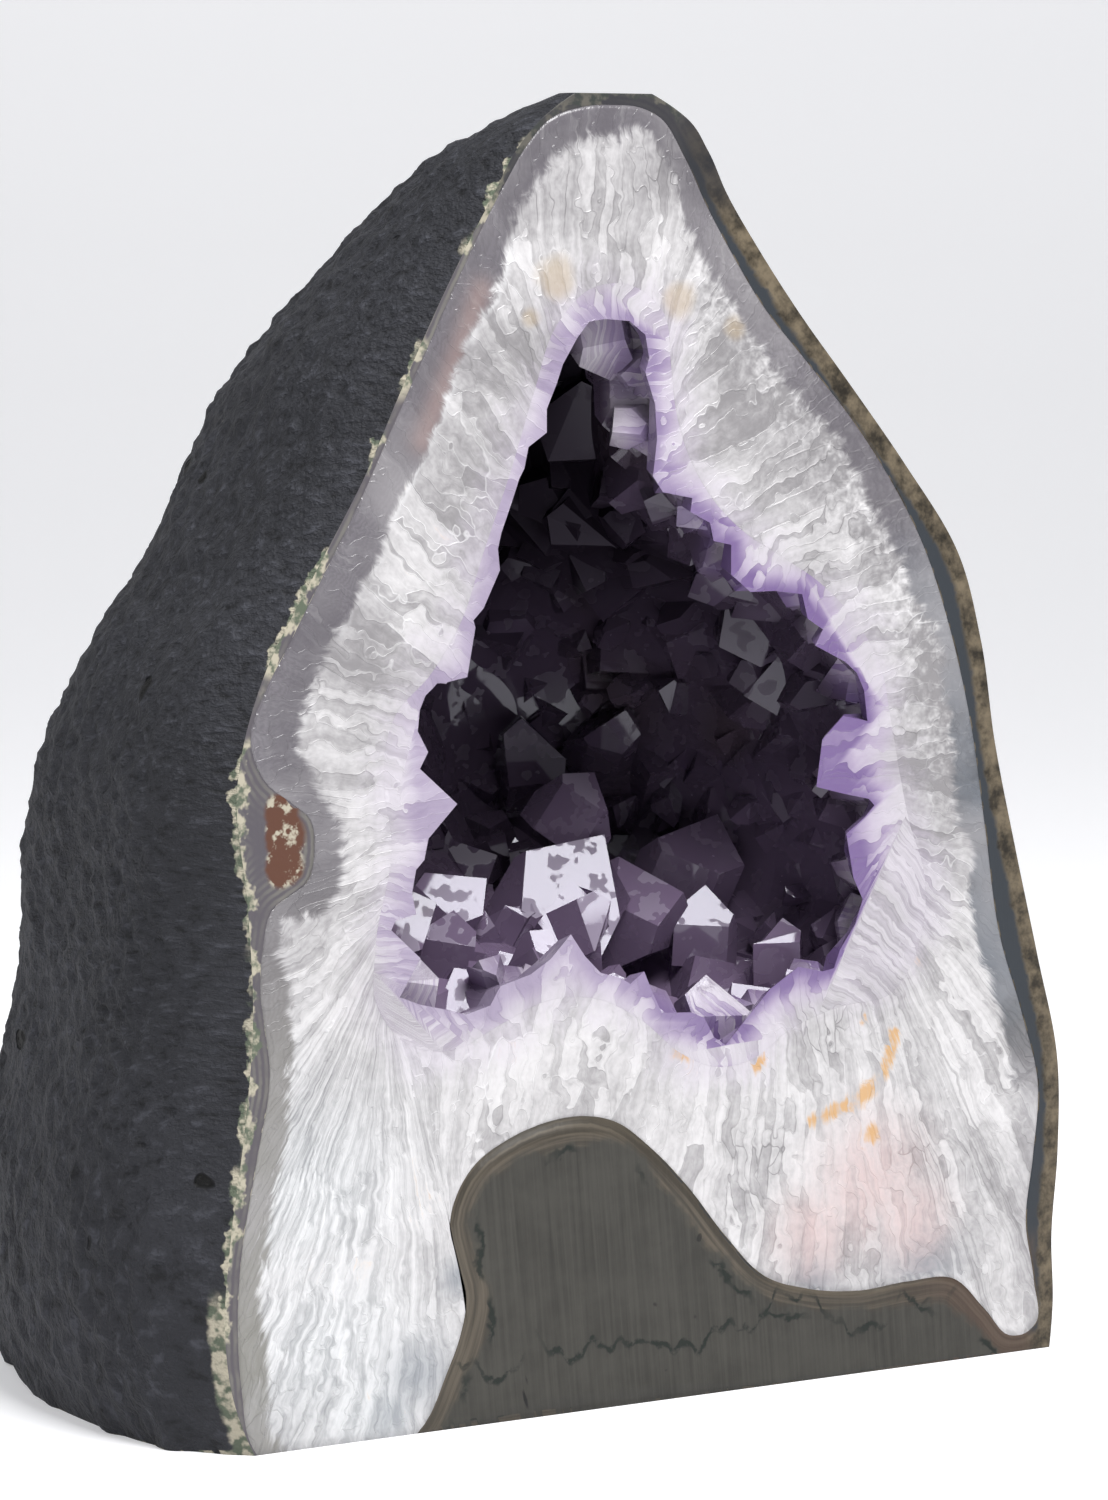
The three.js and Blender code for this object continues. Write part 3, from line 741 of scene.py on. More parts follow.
def crystal_rows(turns, stray, spacing, radius, reach, lean, sunk, chance):
    """Roots, ways, radii, lengths and spins of crystals in staggered rows round the hollow, each square to
    the wall but for a little lean. Lengths are given in millimetres."""
    edge = crust_edge()
    girth = lengths_along(full_turn(edge))[-1]
    sets = []
    for turn in np.radians(turns):
        here_round = girth * math.cos(turn) ** (2 / HOLLOW_POWER)
        count = max(int(round(here_round / (spacing * MM))), 3)
        at = (np.arange(count) + chance.uniform(-0.35, 0.35, count) + chance.uniform()) / count % 1
        here = edge[(at * len(edge)).astype(int) % len(edge)]
        ahead = edge[((at * len(edge)).astype(int) + 6) % len(edge)]
        deep = np.clip(turn + np.radians(stray) * chance.uniform(-1, 1, count), 0, 1.5)
        root = hollow_wall(here, deep)
        inward = np.cross(hollow_wall(here, deep + 0.03) - root, hollow_wall(ahead, deep) - root)
        inward /= np.linalg.norm(inward, axis=1, keepdims=True)
        way = inward + lean * chance.uniform(-1, 1, (count, 3))
        way /= np.linalg.norm(way, axis=1, keepdims=True)
        radii = chance.uniform(radius[0] * MM, radius[1] * MM, count)
        lengths = chance.uniform(reach[0] * MM, reach[1] * MM, count) + sunk * MM
        spins = np.where(chance.uniform(size=count) < 0.2, 0.15, np.pi) * chance.uniform(-1, 1, count)
        sets.append((root - inward * (sunk * MM), way, radii, lengths, spins))
    return [np.concatenate(column) for column in zip(*sets)]


def solid_object(name, points, faces):
    """A throwaway object for cutting and joining."""
    mesh = bpy.data.meshes.new(name)
    mesh.from_pydata(points.tolist(), [], [f for group in faces for f in group.tolist()])
    work = bmesh.new()
    work.from_mesh(mesh)
    bmesh.ops.remove_doubles(work, verts=work.verts, dist=1e-6)
    bmesh.ops.recalc_face_normals(work, faces=work.faces)
    bmesh.ops.triangulate(work, faces=work.faces)
    work.to_mesh(mesh)
    work.free()
    thing = bpy.data.objects.new(name, mesh)
    bpy.context.scene.collection.objects.link(thing)
    return thing


def change_solid(thing, operation, other):
    """Joins an object with another or cuts it by that, and throws the other away."""
    change = thing.modifiers.new("change", "BOOLEAN")
    change.solver = "MANIFOLD"
    change.operation = operation
    change.object = other
    graph = bpy.context.evaluated_depsgraph_get()
    mesh = bpy.data.meshes.new_from_object(thing.evaluated_get(graph))
    thing.modifiers.clear()
    work = bmesh.new()
    work.from_mesh(mesh)
    bmesh.ops.delete(work, geom=[v for v in work.verts if not v.link_faces], context="VERTS")
    bmesh.ops.triangulate(work, faces=work.faces)
    work.to_mesh(mesh)
    work.free()
    old, spent = thing.data, other.data
    thing.data = mesh
    bpy.data.objects.remove(other)
    bpy.data.meshes.remove(old)
    bpy.data.meshes.remove(spent)
    if not len(mesh.polygons):
        raise RuntimeError("a join or a cut left nothing")


def apart_batches(centres, reaches):
    """Sets of crystals that stay clear of each other, so that each set is one clean solid."""
    gaps = np.linalg.norm(centres[:, None] - centres[None], axis=2)
    clear = gaps > reaches[:, None] + reaches[None]
    batches = []
    for k in range(len(centres)):
        home = next((batch for batch in batches if clear[k, batch].all()), None)
        if home is None:
            batches.append([k])
        else:
            home.append(k)
    return batches


def toothed_ring(chance):
    """Front of the crust as a closed ring: the outline of the teeth on the face, and each side of it drawn
    back and outwards to the wall as a flat facet, to a depth of its own."""
    tooth = face_place(CRUST_TEETH)
    root = crust_edge()
    nearest = np.maximum.accumulate(nearest_in(root, tooth))
    count = len(tooth)
    near = at_lengths(root, lengths_along(root)[nearest] + np.arange(count) * 2e-5)
    far = near + (near - face_place(HOLLOW_MIDDLE)) * 0.14
    deep = chance.uniform(7 * MM, 16 * MM, count)
    ahead = np.full(count, -4 * MM)
    rows = [(1.0, ahead), (0.0, ahead), (0.0, 0 * deep), (0.1, 0.4 * deep), (1.0, deep), (1.0, ahead)]
    return np.stack([behind(tooth * (1 - share) + far * share, back) for share, back in rows])


def crust_mesh(sizes):
    """The amethyst crust: a thin bed on the hollow's wall and crystals of several sizes, joined into one
    solid and cut by the wall and by the saw."""
    chance = np.random.default_rng(sizes.crystal_seed)
    rows, columns = 14, 240
    edge = even_curve(crust_edge(), columns, closed=True)
    turn = np.linspace(0, np.pi / 2, rows)
    wall = hollow_wall(edge[None], turn[:, None])
    centre = face_place(HOLLOW_MIDDLE)
    middle = np.array([centre[0], 0, centre[1]])

    def drawn(share, back):
        """The wall drawn in or out to a share of its width and moved back."""
        return wall * [share, 1, share] + middle * (1 - share) + [0, back, 0]

    # The bed: the wall, a smaller wall inside it, and the ring between them in front of the face.
    inner = drawn(0.965, -2.5 * MM)
    outer = drawn(1.02, 2 * MM)
    inner_front = inner[:1] - [0, 4 * MM, 0]
    outer_front = outer[:1] - [0, 8 * MM, 0]
    shell = np.concatenate([outer[::-1], outer_front, inner_front, inner])
    bed = solid_object("bed", shell.reshape(-1, 3), [grid_faces(len(shell), columns, closed=True)])
    # The room that everything is cut to, from the face to the wall.
    under = drawn(1.008, -CRUST_FORWARD)
    sides = [grid_faces(rows, columns, closed=True), np.arange(columns)[None]]
    room = solid_object("room", under.reshape(-1, 3), sides)
    large_tip = LARGE_CRYSTALS[:, :3] * MM + [CORNER, FACE, 0]
    large_way = LARGE_CRYSTALS[:, 3:6] + chance.uniform(-0.08, 0.08, (len(LARGE_CRYSTALS), 3))
    large_way /= np.linalg.norm(large_way, axis=1, keepdims=True)
    large_length = LARGE_CRYSTALS[:, 7] * MM
    large_radius = LARGE_CRYSTALS[:, 6] * MM
    large_spin = chance.uniform(-0.12, 0.12, len(large_tip))
    sets = [crystal_rows(*row, chance) for row in CRYSTAL_ROWS]
    large_root = large_tip - large_way * large_length[:, None]
    sets.append([large_root, large_way, large_radius, large_length, large_spin])
    roots, ways, radii, lengths, spins = [np.concatenate(column) for column in zip(*sets)]
    corners = crystal_points(roots, ways, radii, lengths, spins, chance)
    centres = roots + ways * lengths[:, None] / 2
    reaches = np.hypot(lengths / 2, 1.15 * radii)
    ring = toothed_ring(chance)
    sides = [grid_faces(*ring.shape[:2], closed=True)]
    change_solid(bed, "UNION", solid_object("ring", ring.reshape(-1, 3), sides))
    for batch in apart_batches(centres, reaches):
        starts = CRYSTAL_CORNERS * np.arange(len(batch))[:, None, None]
        sides = [(faces[None] + starts).reshape(-1, faces.shape[1]) for faces in CRYSTAL_FACES]
        change_solid(bed, "UNION", solid_object("crystals", corners[batch].reshape(-1, 3), sides))
    change_solid(bed, "INTERSECT", room)
    mesh = bed.data
    bpy.data.objects.remove(bed)
    mesh.name = "crust"
    mesh.materials.clear()
    # Values that its material reads: height over the wall, place round it, distance to the cut teeth.
    points = np.empty(3 * len(mesh.vertices), np.float32)
    mesh.vertices.foreach_get("co", points)
    points = points.reshape(-1, 3).astype(float)
    flat = points[:, [0, 2]]
    deep = np.clip((points[:, 1] - FACE) / (HOLLOW_DEPTH * MM), 0, 0.999)
    share = np.maximum(taper(deep, 1, HOLLOW_POWER), 0.02)
    at_face = centre + (flat - centre) / share[:, None]
    _, root, outer_at, inner_at = facing_pairs()
    nearest = nearest_in(root, at_face)
    carry(mesh, "growth", np.linalg.norm(at_face - root[nearest], axis=1) * share)
    girth = inner_at[-1] - inner_at[0]
    along = inner_at[0] + (lengths_along(root)[nearest] - inner_at[0]) % girth
    carry(mesh, "around", np.interp(along, inner_at, outer_at))
    outline = full_turn(CRUST_TEETH)
    teeth = face_place(at_lengths(outline, np.linspace(0, lengths_along(outline)[-1], 900)))
    carry(mesh, "tip", distance_to(flat, teeth))
    return mesh


# Materials.

class Wire:
    """A node's output with arithmetic on it: each operation adds a Math node."""

    def __init__(self, finish, socket):
        self.finish = finish
        self.socket = socket

    def math(self, operation, *values):
        """A Math node on this output and other values."""
        inputs = dict(enumerate((self,) + values))
        return self.finish.add("ShaderNodeMath", {"operation": operation}, inputs)

    def __add__(self, other):
        return self.math("ADD", other)

    __radd__ = __add__

    def __sub__(self, other):
        return self.math("SUBTRACT", other)

    def __rsub__(self, other):
        return (self * -1) + other

    def __mul__(self, other):
        return self.math("MULTIPLY", other)

    __rmul__ = __mul__

    def __abs__(self):
        return self.math("ABSOLUTE")

    def most(self, other):
        return self.math("MAXIMUM", other)

    def ease(self, low, high):
        """Eases from 0 where this is low to 1 where it is high."""
        settings = {"interpolation_type": "SMOOTHSTEP", "clamp": True}
        return self.finish.add("ShaderNodeMapRange", settings, {0: self, 1: low, 2: high, 3: 0.0, 4: 1.0})


class Finish:
    """One material and the way its nodes are made."""

    def __init__(self, name):
        self.material = bpy.data.materials.new(name)
        self.material.use_nodes = True
        self.tree = self.material.node_tree
        self.tree.nodes.clear()
        self.place = self.add("ShaderNodeTexCoord", output="Object")

    def add(self, kind, settings=None, inputs=None, output=0):
        """A node of a type, with its settings made first and its sockets then set or linked."""
        node = self.tree.nodes.new(kind)
        for key, value in (settings or {}).items():
            setattr(node, key, value)
        for key, value in (inputs or {}).items():
            socket = node.inputs[key]
            if isinstance(value, Wire):
                self.tree.links.new(value.socket, socket)
            else:
                socket.default_value = value
        return Wire(self, node.outputs[output]) if len(node.outputs) else node

    def axis(self, letter):
        """One Object coordinate, in metres."""
        return self.add("ShaderNodeSeparateXYZ", None, {0: self.place}, output=letter)

    def vector(self, x, y, z):
        """A vector of three values."""
        return self.add("ShaderNodeCombineXYZ", None, {"X": x, "Y": y, "Z": z})

    def value(self, name):
        """A value that the mesh carries at its points."""
        return self.add("ShaderNodeAttribute", {"attribute_name": name}, output="Fac")

    def noise(self, scale, detail=2.0, rough=0.5, place=None):
        """Noise of 0 to 1 with features of about one over its scale."""
        inputs = {"Vector": place or self.place, "Scale": scale, "Detail": detail, "Roughness": rough}
        return self.add("ShaderNodeTexNoise", None, inputs)

    def mix(self, share, first, second):
        """One colour laid over another by a share."""
        return self.add("ShaderNodeMix", {"data_type": "RGBA"}, {0: share, 6: first, 7: second}, output=2)

    def bump(self, height, strength, distance):
        """A normal bent by a height."""
        inputs = {"Height": height, "Strength": strength, "Distance": distance}
        return self.add("ShaderNodeBump", None, inputs, output="Normal")

    def shade(self, inputs):
        """A plain surface shader as the whole material."""
        surface = self.add("ShaderNodeBsdfPrincipled", None, inputs)
        self.add("ShaderNodeOutputMaterial", None, {"Surface": surface})
        return self.material


def rgb(colour, share=1.0):
    """A property's colour with full alpha, lighter or darker by a share."""
    return (*(c * share for c in colour), 1.0)


def paint_finish(colours):
    """Matt dark paint over rough rock with painted highlight and shade on its knobs and near-black painted
    shade in its pits, worn to cream stone in crumbs along the sawn edge.
    """
    f = Finish("charcoal paint")
    edge = f.value("edge")
    cloud = f.noise(30.0, 3.0)
    grain = f.noise(1000.0, 2.0, 0.6)
    x, y, z = f.axis("X"), f.axis("Y"), f.axis("Z")
    slant = z.ease(0.05, 0.17) * 0.75 + 0.1
    slanting = f.vector((y * 420 + x * 300) + z * slant * 330, z * 230 - y * slant * 330, x * 120)
    knobs = f.noise(1.0, 3.0, 0.62, slanting)
    base = f.mix(cloud.ease(0.3, 0.75), rgb(colours.paint), rgb(colours.paint, 1.3))
    # Painted highlight on the tops of the knobs and painted shade between them, as lighter and darker copies
    # of the paint.
    base = f.mix(knobs.ease(0.52, 0.74) * 0.85, base, rgb(colours.paint, 2.6))
    base = f.mix(knobs.ease(0.47, 0.28) * 0.85, base, rgb(colours.paint, 0.3))
    left = x.ease(0.0, -0.02)
    crumbs = f.noise(190.0, 3.0, 0.65)
    worn = (edge * -1 + 0.0012 + (crumbs - 0.5) * 0.009).ease(0.0, 0.0006)
    worn = worn * f.noise(50.0, 2.0).ease(0.48, 0.56) * left
    low = z.ease(0.037, 0.031) * (edge + (crumbs - 0.5) * 0.004).ease(0.0042, 0.003) * left * 0.9
    stone = f.mix(f.noise(420.0).ease(0.4, 0.6), rgb(colours.cream), rgb(colours.moss))
    base = f.mix(worn.most(low), base, stone)
    flecks = f.noise(160.0, 1.0).ease(0.79, 0.82) * f.noise(24.0, 1.0).ease(0.55, 0.62)
    base = f.mix(flecks, base, rgb(colours.cream))
    pits = f.noise(95.0, 0.0).ease(0.815, 0.835)
    # Near-black painted shade in the pits of the paint.
    base = f.mix(pits, base, (0.002, 0.002, 0.002, 1))
    height = knobs * 0.7 + grain * 0.3 - pits * 1.5
    normal = f.bump(height, 1.0, 0.0026)
    return f.shade({
        "Base Color": base, "Roughness": knobs * 0.2 + 0.55, "Specular IOR Level": 0.22, "Normal": normal})


def sawn_finish(colours):
    """Sawn basalt: olive grey with upright saw marks, green-black veins, a paler border along the quartz,
    a tan outer strip on the right, cream crumbs on the left and a rusty plug in the notch."""
    f = Finish("sawn basalt")
    rim, edge, plug = f.value("rim"), f.value("edge"), f.value("plug")
    x, z = f.axis("X"), f.axis("Z")
    cloud = f.noise(70.0, 4.0, 0.6)
    crumbs = f.noise(300.0, 3.0, 0.65)
    saw = f.noise(1.0, 3.0, 0.6, f.vector(x * 900 + z * 80, z * 16, 0.0))
    base = f.mix(cloud.ease(0.3, 0.7), rgb(colours.basalt), rgb(colours.basalt, 1.45))
    base = f.mix(saw.ease(0.42, 0.7) * 0.5, base, rgb(colours.basalt, 1.9))
    base = f.mix(saw.ease(0.45, 0.25) * 0.5, base, rgb(colours.basalt, 0.5))
    border = (rim + (cloud - 0.5) * 0.01 + (f.noise(24.0, 1.0) - 0.5) * 0.014).ease(0.0058, 0.0036)
    layers = f.noise(1.0, 2.0, 0.6, f.vector(rim * 900, x * 30, z * 30))
    banded = f.mix(layers.ease(0.35, 0.7), rgb(colours.border, 0.6), rgb(colours.border, 1.5))
    banded = f.mix(x.ease(0.06, 0.09) * 0.4, banded, rgb(colours.rust))
    base = f.mix(border * 0.7, base, banded)
    wave = f.noise(42.0, 3.0, 0.55, f.vector(x, 0.0, 0.0)) - 0.5
    broken = f.noise(60.0, 2.0)
    along = abs(rim + (cloud - 0.5) * 0.016 - 0.0064).ease(0.0012, 0.0003) * broken.ease(0.49, 0.57)
    across = abs(z - 0.014 - wave * 0.055 - (crumbs - 0.5) * 0.004).ease(0.0011, 0.0003)
    across = across * broken.ease(0.38, 0.5)
    mound = rim.ease(0.0, 0.003) * x.ease(-0.06, -0.04)
    veins = along.most(across) * mound * crumbs.ease(0.36, 0.5)
    base = f.mix(veins * 0.9, base, rgb(colours.vein))
    pits = f.noise(210.0, 2.0).ease(0.70, 0.74) * f.noise(40.0, 1.0).ease(0.5, 0.58)
    # Near-black painted shade in the pits of the sawn rock.
    base = f.mix(pits * 0.8, base, (0.012, 0.012, 0.011, 1))
    base = f.mix(f.value("crack").ease(0.4, 0.7), base, (0.01, 0.01, 0.01, 1))
    strip = edge.ease(0.011, 0.008) * x.ease(0.0, 0.01) * z.ease(0.02, 0.03).most(x.ease(0.1, 0.106))
    coarse = f.noise(150.0, 4.0, 0.7)
    rough_tan = f.mix(coarse.ease(0.32, 0.68), rgb(colours.tan, 0.15), rgb(colours.tan, 1.5))
    outer = (edge + (coarse - 0.5) * 0.005).ease(0.0048, 0.0034)
    base = f.mix(strip, base, f.mix(outer, rgb(colours.blue_grey, 0.35), rough_tan))
    left = (x - z * 0.32).ease(-0.075, -0.085)
    bands = (rim * 4300.0 + cloud * 9.0).math("SINE").ease(-1.0, 1.0) * cloud.ease(0.35, 0.65) * 0.6
    base = f.mix(left * 0.9, base, f.mix(bands, rgb(colours.chalcedony), rgb(colours.olive)))
    chips = f.mix(crumbs.ease(0.42, 0.6), rgb(colours.cream), rgb(colours.moss))
    chip = f.noise(160.0, 3.0, 0.6)
    chipped = (edge * -1 + 0.0016 + (chip - 0.5) * 0.011).ease(0.0, 0.0008)
    chipped = chipped * f.noise(50.0, 2.0).ease(0.42, 0.52)
    base = f.mix(left * chipped, base, chips)
    crown = z.ease(0.255, 0.27)
    base = f.mix(crown * 0.8, base, rgb(colours.paint))
    rust = f.mix(crumbs.ease(0.54, 0.66), rgb(colours.rust), rgb(colours.cream))
    base = f.mix((plug + (cloud - 0.5) * 0.7).ease(0.4, 0.6), base, rust)
    normal = f.bump(saw * 0.4 + crumbs * 0.6, 0.3, 0.0006)
    return f.shade({
        "Base Color": base, "Roughness": crumbs * 0.25 + 0.35, "Specular IOR Level": 0.28, "Normal": normal})


def shards(f, around, root):
    """Long shards that run from the rim to the hollow: bend, flat tone, gaps and streaks of their own."""
    bend = f.noise(55.0, 3.0, 0.62) - 0.5
    place = f.vector(around * 230 + bend * 5.0, root * 60 + bend * 4.0, 0.0)
    settings = {"voronoi_dimensions": "2D"}
    cells = f.add("ShaderNodeTexVoronoi", settings, {"Vector": place, "Scale": 1.0}, output="Color")
    tone = f.add("ShaderNodeSeparateColor", None, {"Color": cells}, output=0)
    settings = {"voronoi_dimensions": "2D", "feature": "DISTANCE_TO_EDGE"}
    gaps = f.add("ShaderNodeTexVoronoi", settings, {"Vector": place, "Scale": 1.0})
    streaks = f.noise(1.0, 4.0, 0.65, f.vector(around * 360 + bend * 7.0, root * 80 + bend * 5.0, 0.0))
    return bend, tone, gaps.ease(0.05, 0.008), streaks


def milk_light(tone, streaks, cloud):
    """Lightness of milky quartz from its shards, streaks and clouds."""
    return tone * 0.34 + streaks * 0.75 + cloud * 0.8 - 0.5


def violet_root(f, colours, base, root, cloud, streaks):
    """Lavender laid over quartz where it comes near the root of the crystals."""
    violet = (root * -1 + 0.010 + (cloud - 0.5) * 0.03 + (streaks - 0.5) * 0.02).ease(0.0, 0.016)
    return f.mix(violet * 0.3, base, rgb(colours.lavender))


def milky(f, colours, light, needles, cloud):
    """Milky quartz by its lightness, with white and dark needles."""
    base = f.mix(light.ease(-0.02, 0.9), rgb(colours.quartz_shade), rgb(colours.quartz))
    base = f.mix(needles * cloud.ease(0.44, 0.66) * 0.5, base, (0.8, 0.79, 0.8, 1))
    return f.mix(needles * cloud.ease(0.46, 0.34) * 0.55, base, rgb(colours.quartz_shade, 0.6))


def quartz_finish(colours):
    """Milky quartz: long shards that run from the rim to the hollow, a banded grey rim, a lavender root
    and a few stains."""
    f = Finish("milky quartz")
    rim, root, around = f.value("rim"), f.value("root"), f.value("around")
    x, z = f.axis("X"), f.axis("Z")
    cloud = f.noise(40.0, 4.0, 0.62)
    bend, tone, needles, streaks = shards(f, around, root)
    grit = f.noise(420.0, 2.0, 0.7)
    sugar = f.value("sugar")
    light = milk_light(tone, streaks, cloud)
    light = light + (grit - 0.5) * (sugar * 1.6 + 0.35) - sugar * 0.16
    light = light + f.value("milk") * 0.06 - f.value("clear") * 0.25
    base = milky(f, colours, light, needles, cloud)
    base = f.mix(f.value("shade") * 0.75, base, rgb(colours.blue_shade))
    ice = f.mix(streaks.ease(0.35, 0.65), rgb(colours.ice_shade), (0.76, 0.78, 0.79, 1))
    base = f.mix(f.value("ice") * 0.55, base, ice)
    base = violet_root(f, colours, base, root, cloud, streaks)
    pink = f.value("pink") * (streaks * 0.8 + 0.3)
    base = f.mix(pink.ease(0.1, 1.0) * 0.8, base, rgb(colours.pink))
    brown = (f.value("brown") + (cloud - 0.5) * 1.3).ease(0.5, 1.0)
    base = f.mix(brown * 0.5, base, rgb(colours.stain))
    orange = (f.value("orange") + (cloud - 0.5) * 2.4 + (streaks - 0.5) * 1.6).ease(0.5, 1.0)
    orange = orange * (grit + tone).ease(0.6, 1.1)
    base = f.mix(orange * 0.85, base, rgb(colours.orange))
    # The rim of chalcedony.
    right = x.ease(0.02, 0.075)
    low = z.ease(0.14, 0.05) * (1 - right)
    depth = rim + bend * 0.013 + (streaks - 0.5) * 0.007 - f.value("band") * 0.0045
    zone = depth.ease(0.0075, 0.0045)
    bands = (depth * 4300.0).math("SINE").ease(-1.0, 1.0) * cloud.ease(0.35, 0.7)
    grey = f.mix(bands, rgb(colours.chalcedony), rgb(colours.chalcedony, 1.45))
    grey = f.mix(low * 0.8, grey, rgb(colours.olive))
    grey = f.mix(streaks.ease(0.55, 0.75) * 0.5, grey, rgb(colours.quartz_shade))
    slate = f.mix(cloud.ease(0.36, 0.62), rgb(colours.blue_grey, 0.35), rgb(colours.blue_grey, 1.2))
    flank = z.ease(0.05, 0.08) * z.ease(0.20, 0.165)
    grey = f.mix(right * flank * 0.9, grey, slate)
    veil = f.noise(26.0, 2.0).ease(0.45, 0.68)
    grey = f.mix(veil * 0.55, grey, rgb(colours.quartz_shade, 1.35))
    grey = f.mix(f.value("blush") * 0.5, grey, rgb(colours.blush))
    thin = 1 - right * z.ease(0.08, 0.05) * 0.75
    base = f.mix(zone * thin * (cloud.ease(0.2, 0.42) * 0.4 + 0.5), base, grey)
    line = depth.ease(0.0064, 0.0072) * depth.ease(0.0088, 0.0076)
    line = line * f.value("band") * cloud.ease(0.42, 0.62)
    base = f.mix(line * 0.6, base, (0.78, 0.78, 0.79, 1))
    rough = streaks * 0.25 + 0.1 + sugar * 0.25
    height = tone * 0.5 + streaks * 0.6 + needles * 0.4 + grit * (sugar * 1.2 + 0.12)
    normal = f.bump(height, 0.45, 0.0009)
    return f.shade({"Base Color": base, "Roughness": rough, "IOR": QUARTZ_IOR, "Normal": normal})


def crust_finish(colours):
    """Purple crystal: milky with violet tips where the saw cut it, clear in the hollow with painted light on
    its floor and painted shade elsewhere, and a near-black painted shade high at the back of the hollow."""
    f = Finish("amethyst")
    tip, root = f.value("tip"), f.value("growth") * -1
    x, z = f.axis("X"), f.axis("Z")
    deep = f.axis("Y") - FACE
    cloud = f.noise(40.0, 4.0, 0.62)
    _, tone, needles, streaks = shards(f, f.value("around"), root)
    pale = milky(f, colours, milk_light(tone, streaks, cloud), needles, cloud)
    pale = violet_root(f, colours, pale, root, cloud, streaks)
    away = tip + (cloud - 0.5) * 0.006 + (tone - 0.5) * 0.004
    right = x.ease(-0.03, 0.03)
    pale = f.mix(away.ease(0.009, 0.002) * (right * 0.4 + 0.4), pale, rgb(colours.lavender))
    pale = f.mix(away.ease(0.0052, 0.0005) * (right * 0.6 + 0.28), pale, rgb(colours.violet))
    normal = f.bump(tone * 0.5 + streaks * 0.6 + needles * 0.4, 0.4, 0.0009)
    sawn = f.add("ShaderNodeBsdfPrincipled", None, {
        "Base Color": pale, "Roughness": streaks * 0.25 + 0.1, "IOR": QUARTZ_IOR, "Normal": normal})
    etched = f.noise(170.0, 2.0, 0.6).ease(0.53, 0.58) * 0.4 + 0.05
    smoky = f.noise(16.0, 2.0).ease(0.55, 0.7)
    # Painted light on the crystals of the hollow's floor and painted shade on the others, as lighter and
    # darker copies of the amethyst.
    floor = z.ease(0.14, 0.10) * deep.ease(0.085, 0.05)
    tint = f.mix(floor, rgb(colours.amethyst, 0.5), rgb(colours.amethyst, 1.25))
    tint = f.mix(smoky * 0.6, tint, rgb(colours.smoke))
    clear = f.add("ShaderNodeBsdfPrincipled", None, {
        "Base Color": tint, "Roughness": etched, "IOR": QUARTZ_IOR, "Transmission Weight": 0.4,
        "Specular Tint": (0.92, 0.93, 1.0, 1)})
    # Near-black painted shade for the crystals high at the back of the hollow.
    dark = f.add("ShaderNodeBsdfPrincipled", None, {
        "Base Color": rgb(colours.amethyst, 0.05), "Roughness": 0.3, "IOR": QUARTZ_IOR,
        "Specular IOR Level": 0.14, "Specular Tint": (0.8, 0.7, 0.9, 1)})
    upper_shade = z.ease(0.15, 0.19) * deep.ease(0.02, 0.04) * 0.97
    hollow = f.add("ShaderNodeMixShader", None, {0: upper_shade, 1: clear, 2: dark})
    front = deep.ease(0.017, 0.006)
    both = f.add("ShaderNodeMixShader", None, {0: front, 1: hollow, 2: sawn})
    depth = {"Color": rgb(colours.amethyst_depth), "Density": 160.0}
    inside = f.add("ShaderNodeVolumeAbsorption", None, depth)
    f.add("ShaderNodeOutputMaterial", None, {"Surface": both, "Volume": inside})
    return f.material


# Stage.

def sweep_points(columns, floor_rows, rise_rows):
    """Points of a floor that rises into a backdrop: one profile, rounded by a blur, carried across in a
    straight line and turned about the upright with the camera."""
    run = np.concatenate([np.linspace(-5, 2.2, floor_rows), np.full(rise_rows, 2.2)])
    rise = np.concatenate([np.zeros(floor_rows), np.linspace(0.05, 3.5, rise_rows)])
    bend = softened(np.stack([run, rise], 1), 3)
    shape = (columns, len(bend))
    sweep = np.stack([
        np.broadcast_to(np.linspace(-6, 6, columns)[:, None], shape),
        np.broadcast_to(bend[None, :, 0], shape),
        np.broadcast_to(np.maximum(bend[None, :, 1], 0), shape),
    ], -1)
    turn = math.radians(CAMERA_TURN)
    cos, sin = math.cos(turn), math.sin(turn)
    spin = np.array([[cos, -sin, 0], [sin, cos, 0], [0, 0, 1]])
    return sweep.reshape(-1, 3) @ spin.T


def softbox(name, place, aim, size, power):
    """A square light at a place, turned towards another."""
    light = bpy.data.lights.new(name, "AREA")
    light.shape = "RECTANGLE"
    light.size = size
    light.size_y = size
    light.energy = power
    thing = bpy.data.objects.new(name, light)
    thing.location = place
    thing.rotation_euler = (Vector(aim) - Vector(place)).to_track_quat("-Z", "Y").to_euler()
    bpy.context.scene.collection.objects.link(thing)


# Properties, operators and panel.

class GeodeSizes(bpy.types.PropertyGroup):
    """Sizes that shape the geode's relief."""

    lump_height: FloatProperty(
        name="Lump height", description="Height of the skin's broad lumps", default=0.0007, unit="LENGTH")
    knob_height: FloatProperty(
        name="Knob height", description="Height of the skin's small knobs", default=0.0008, unit="LENGTH")
    ridge_height: FloatProperty(
        name="Ridge height", description="Height of its slanting ridges", default=0.0011, unit="LENGTH")
    crystal_seed: IntProperty(
        name="Crystal seed", description="Which set of crystals grows", default=7, subtype="UNSIGNED")


def swatch(name, description, default):
    """A colour property."""
    return FloatVectorProperty(name=name, description=description, subtype="COLOR", default=default)


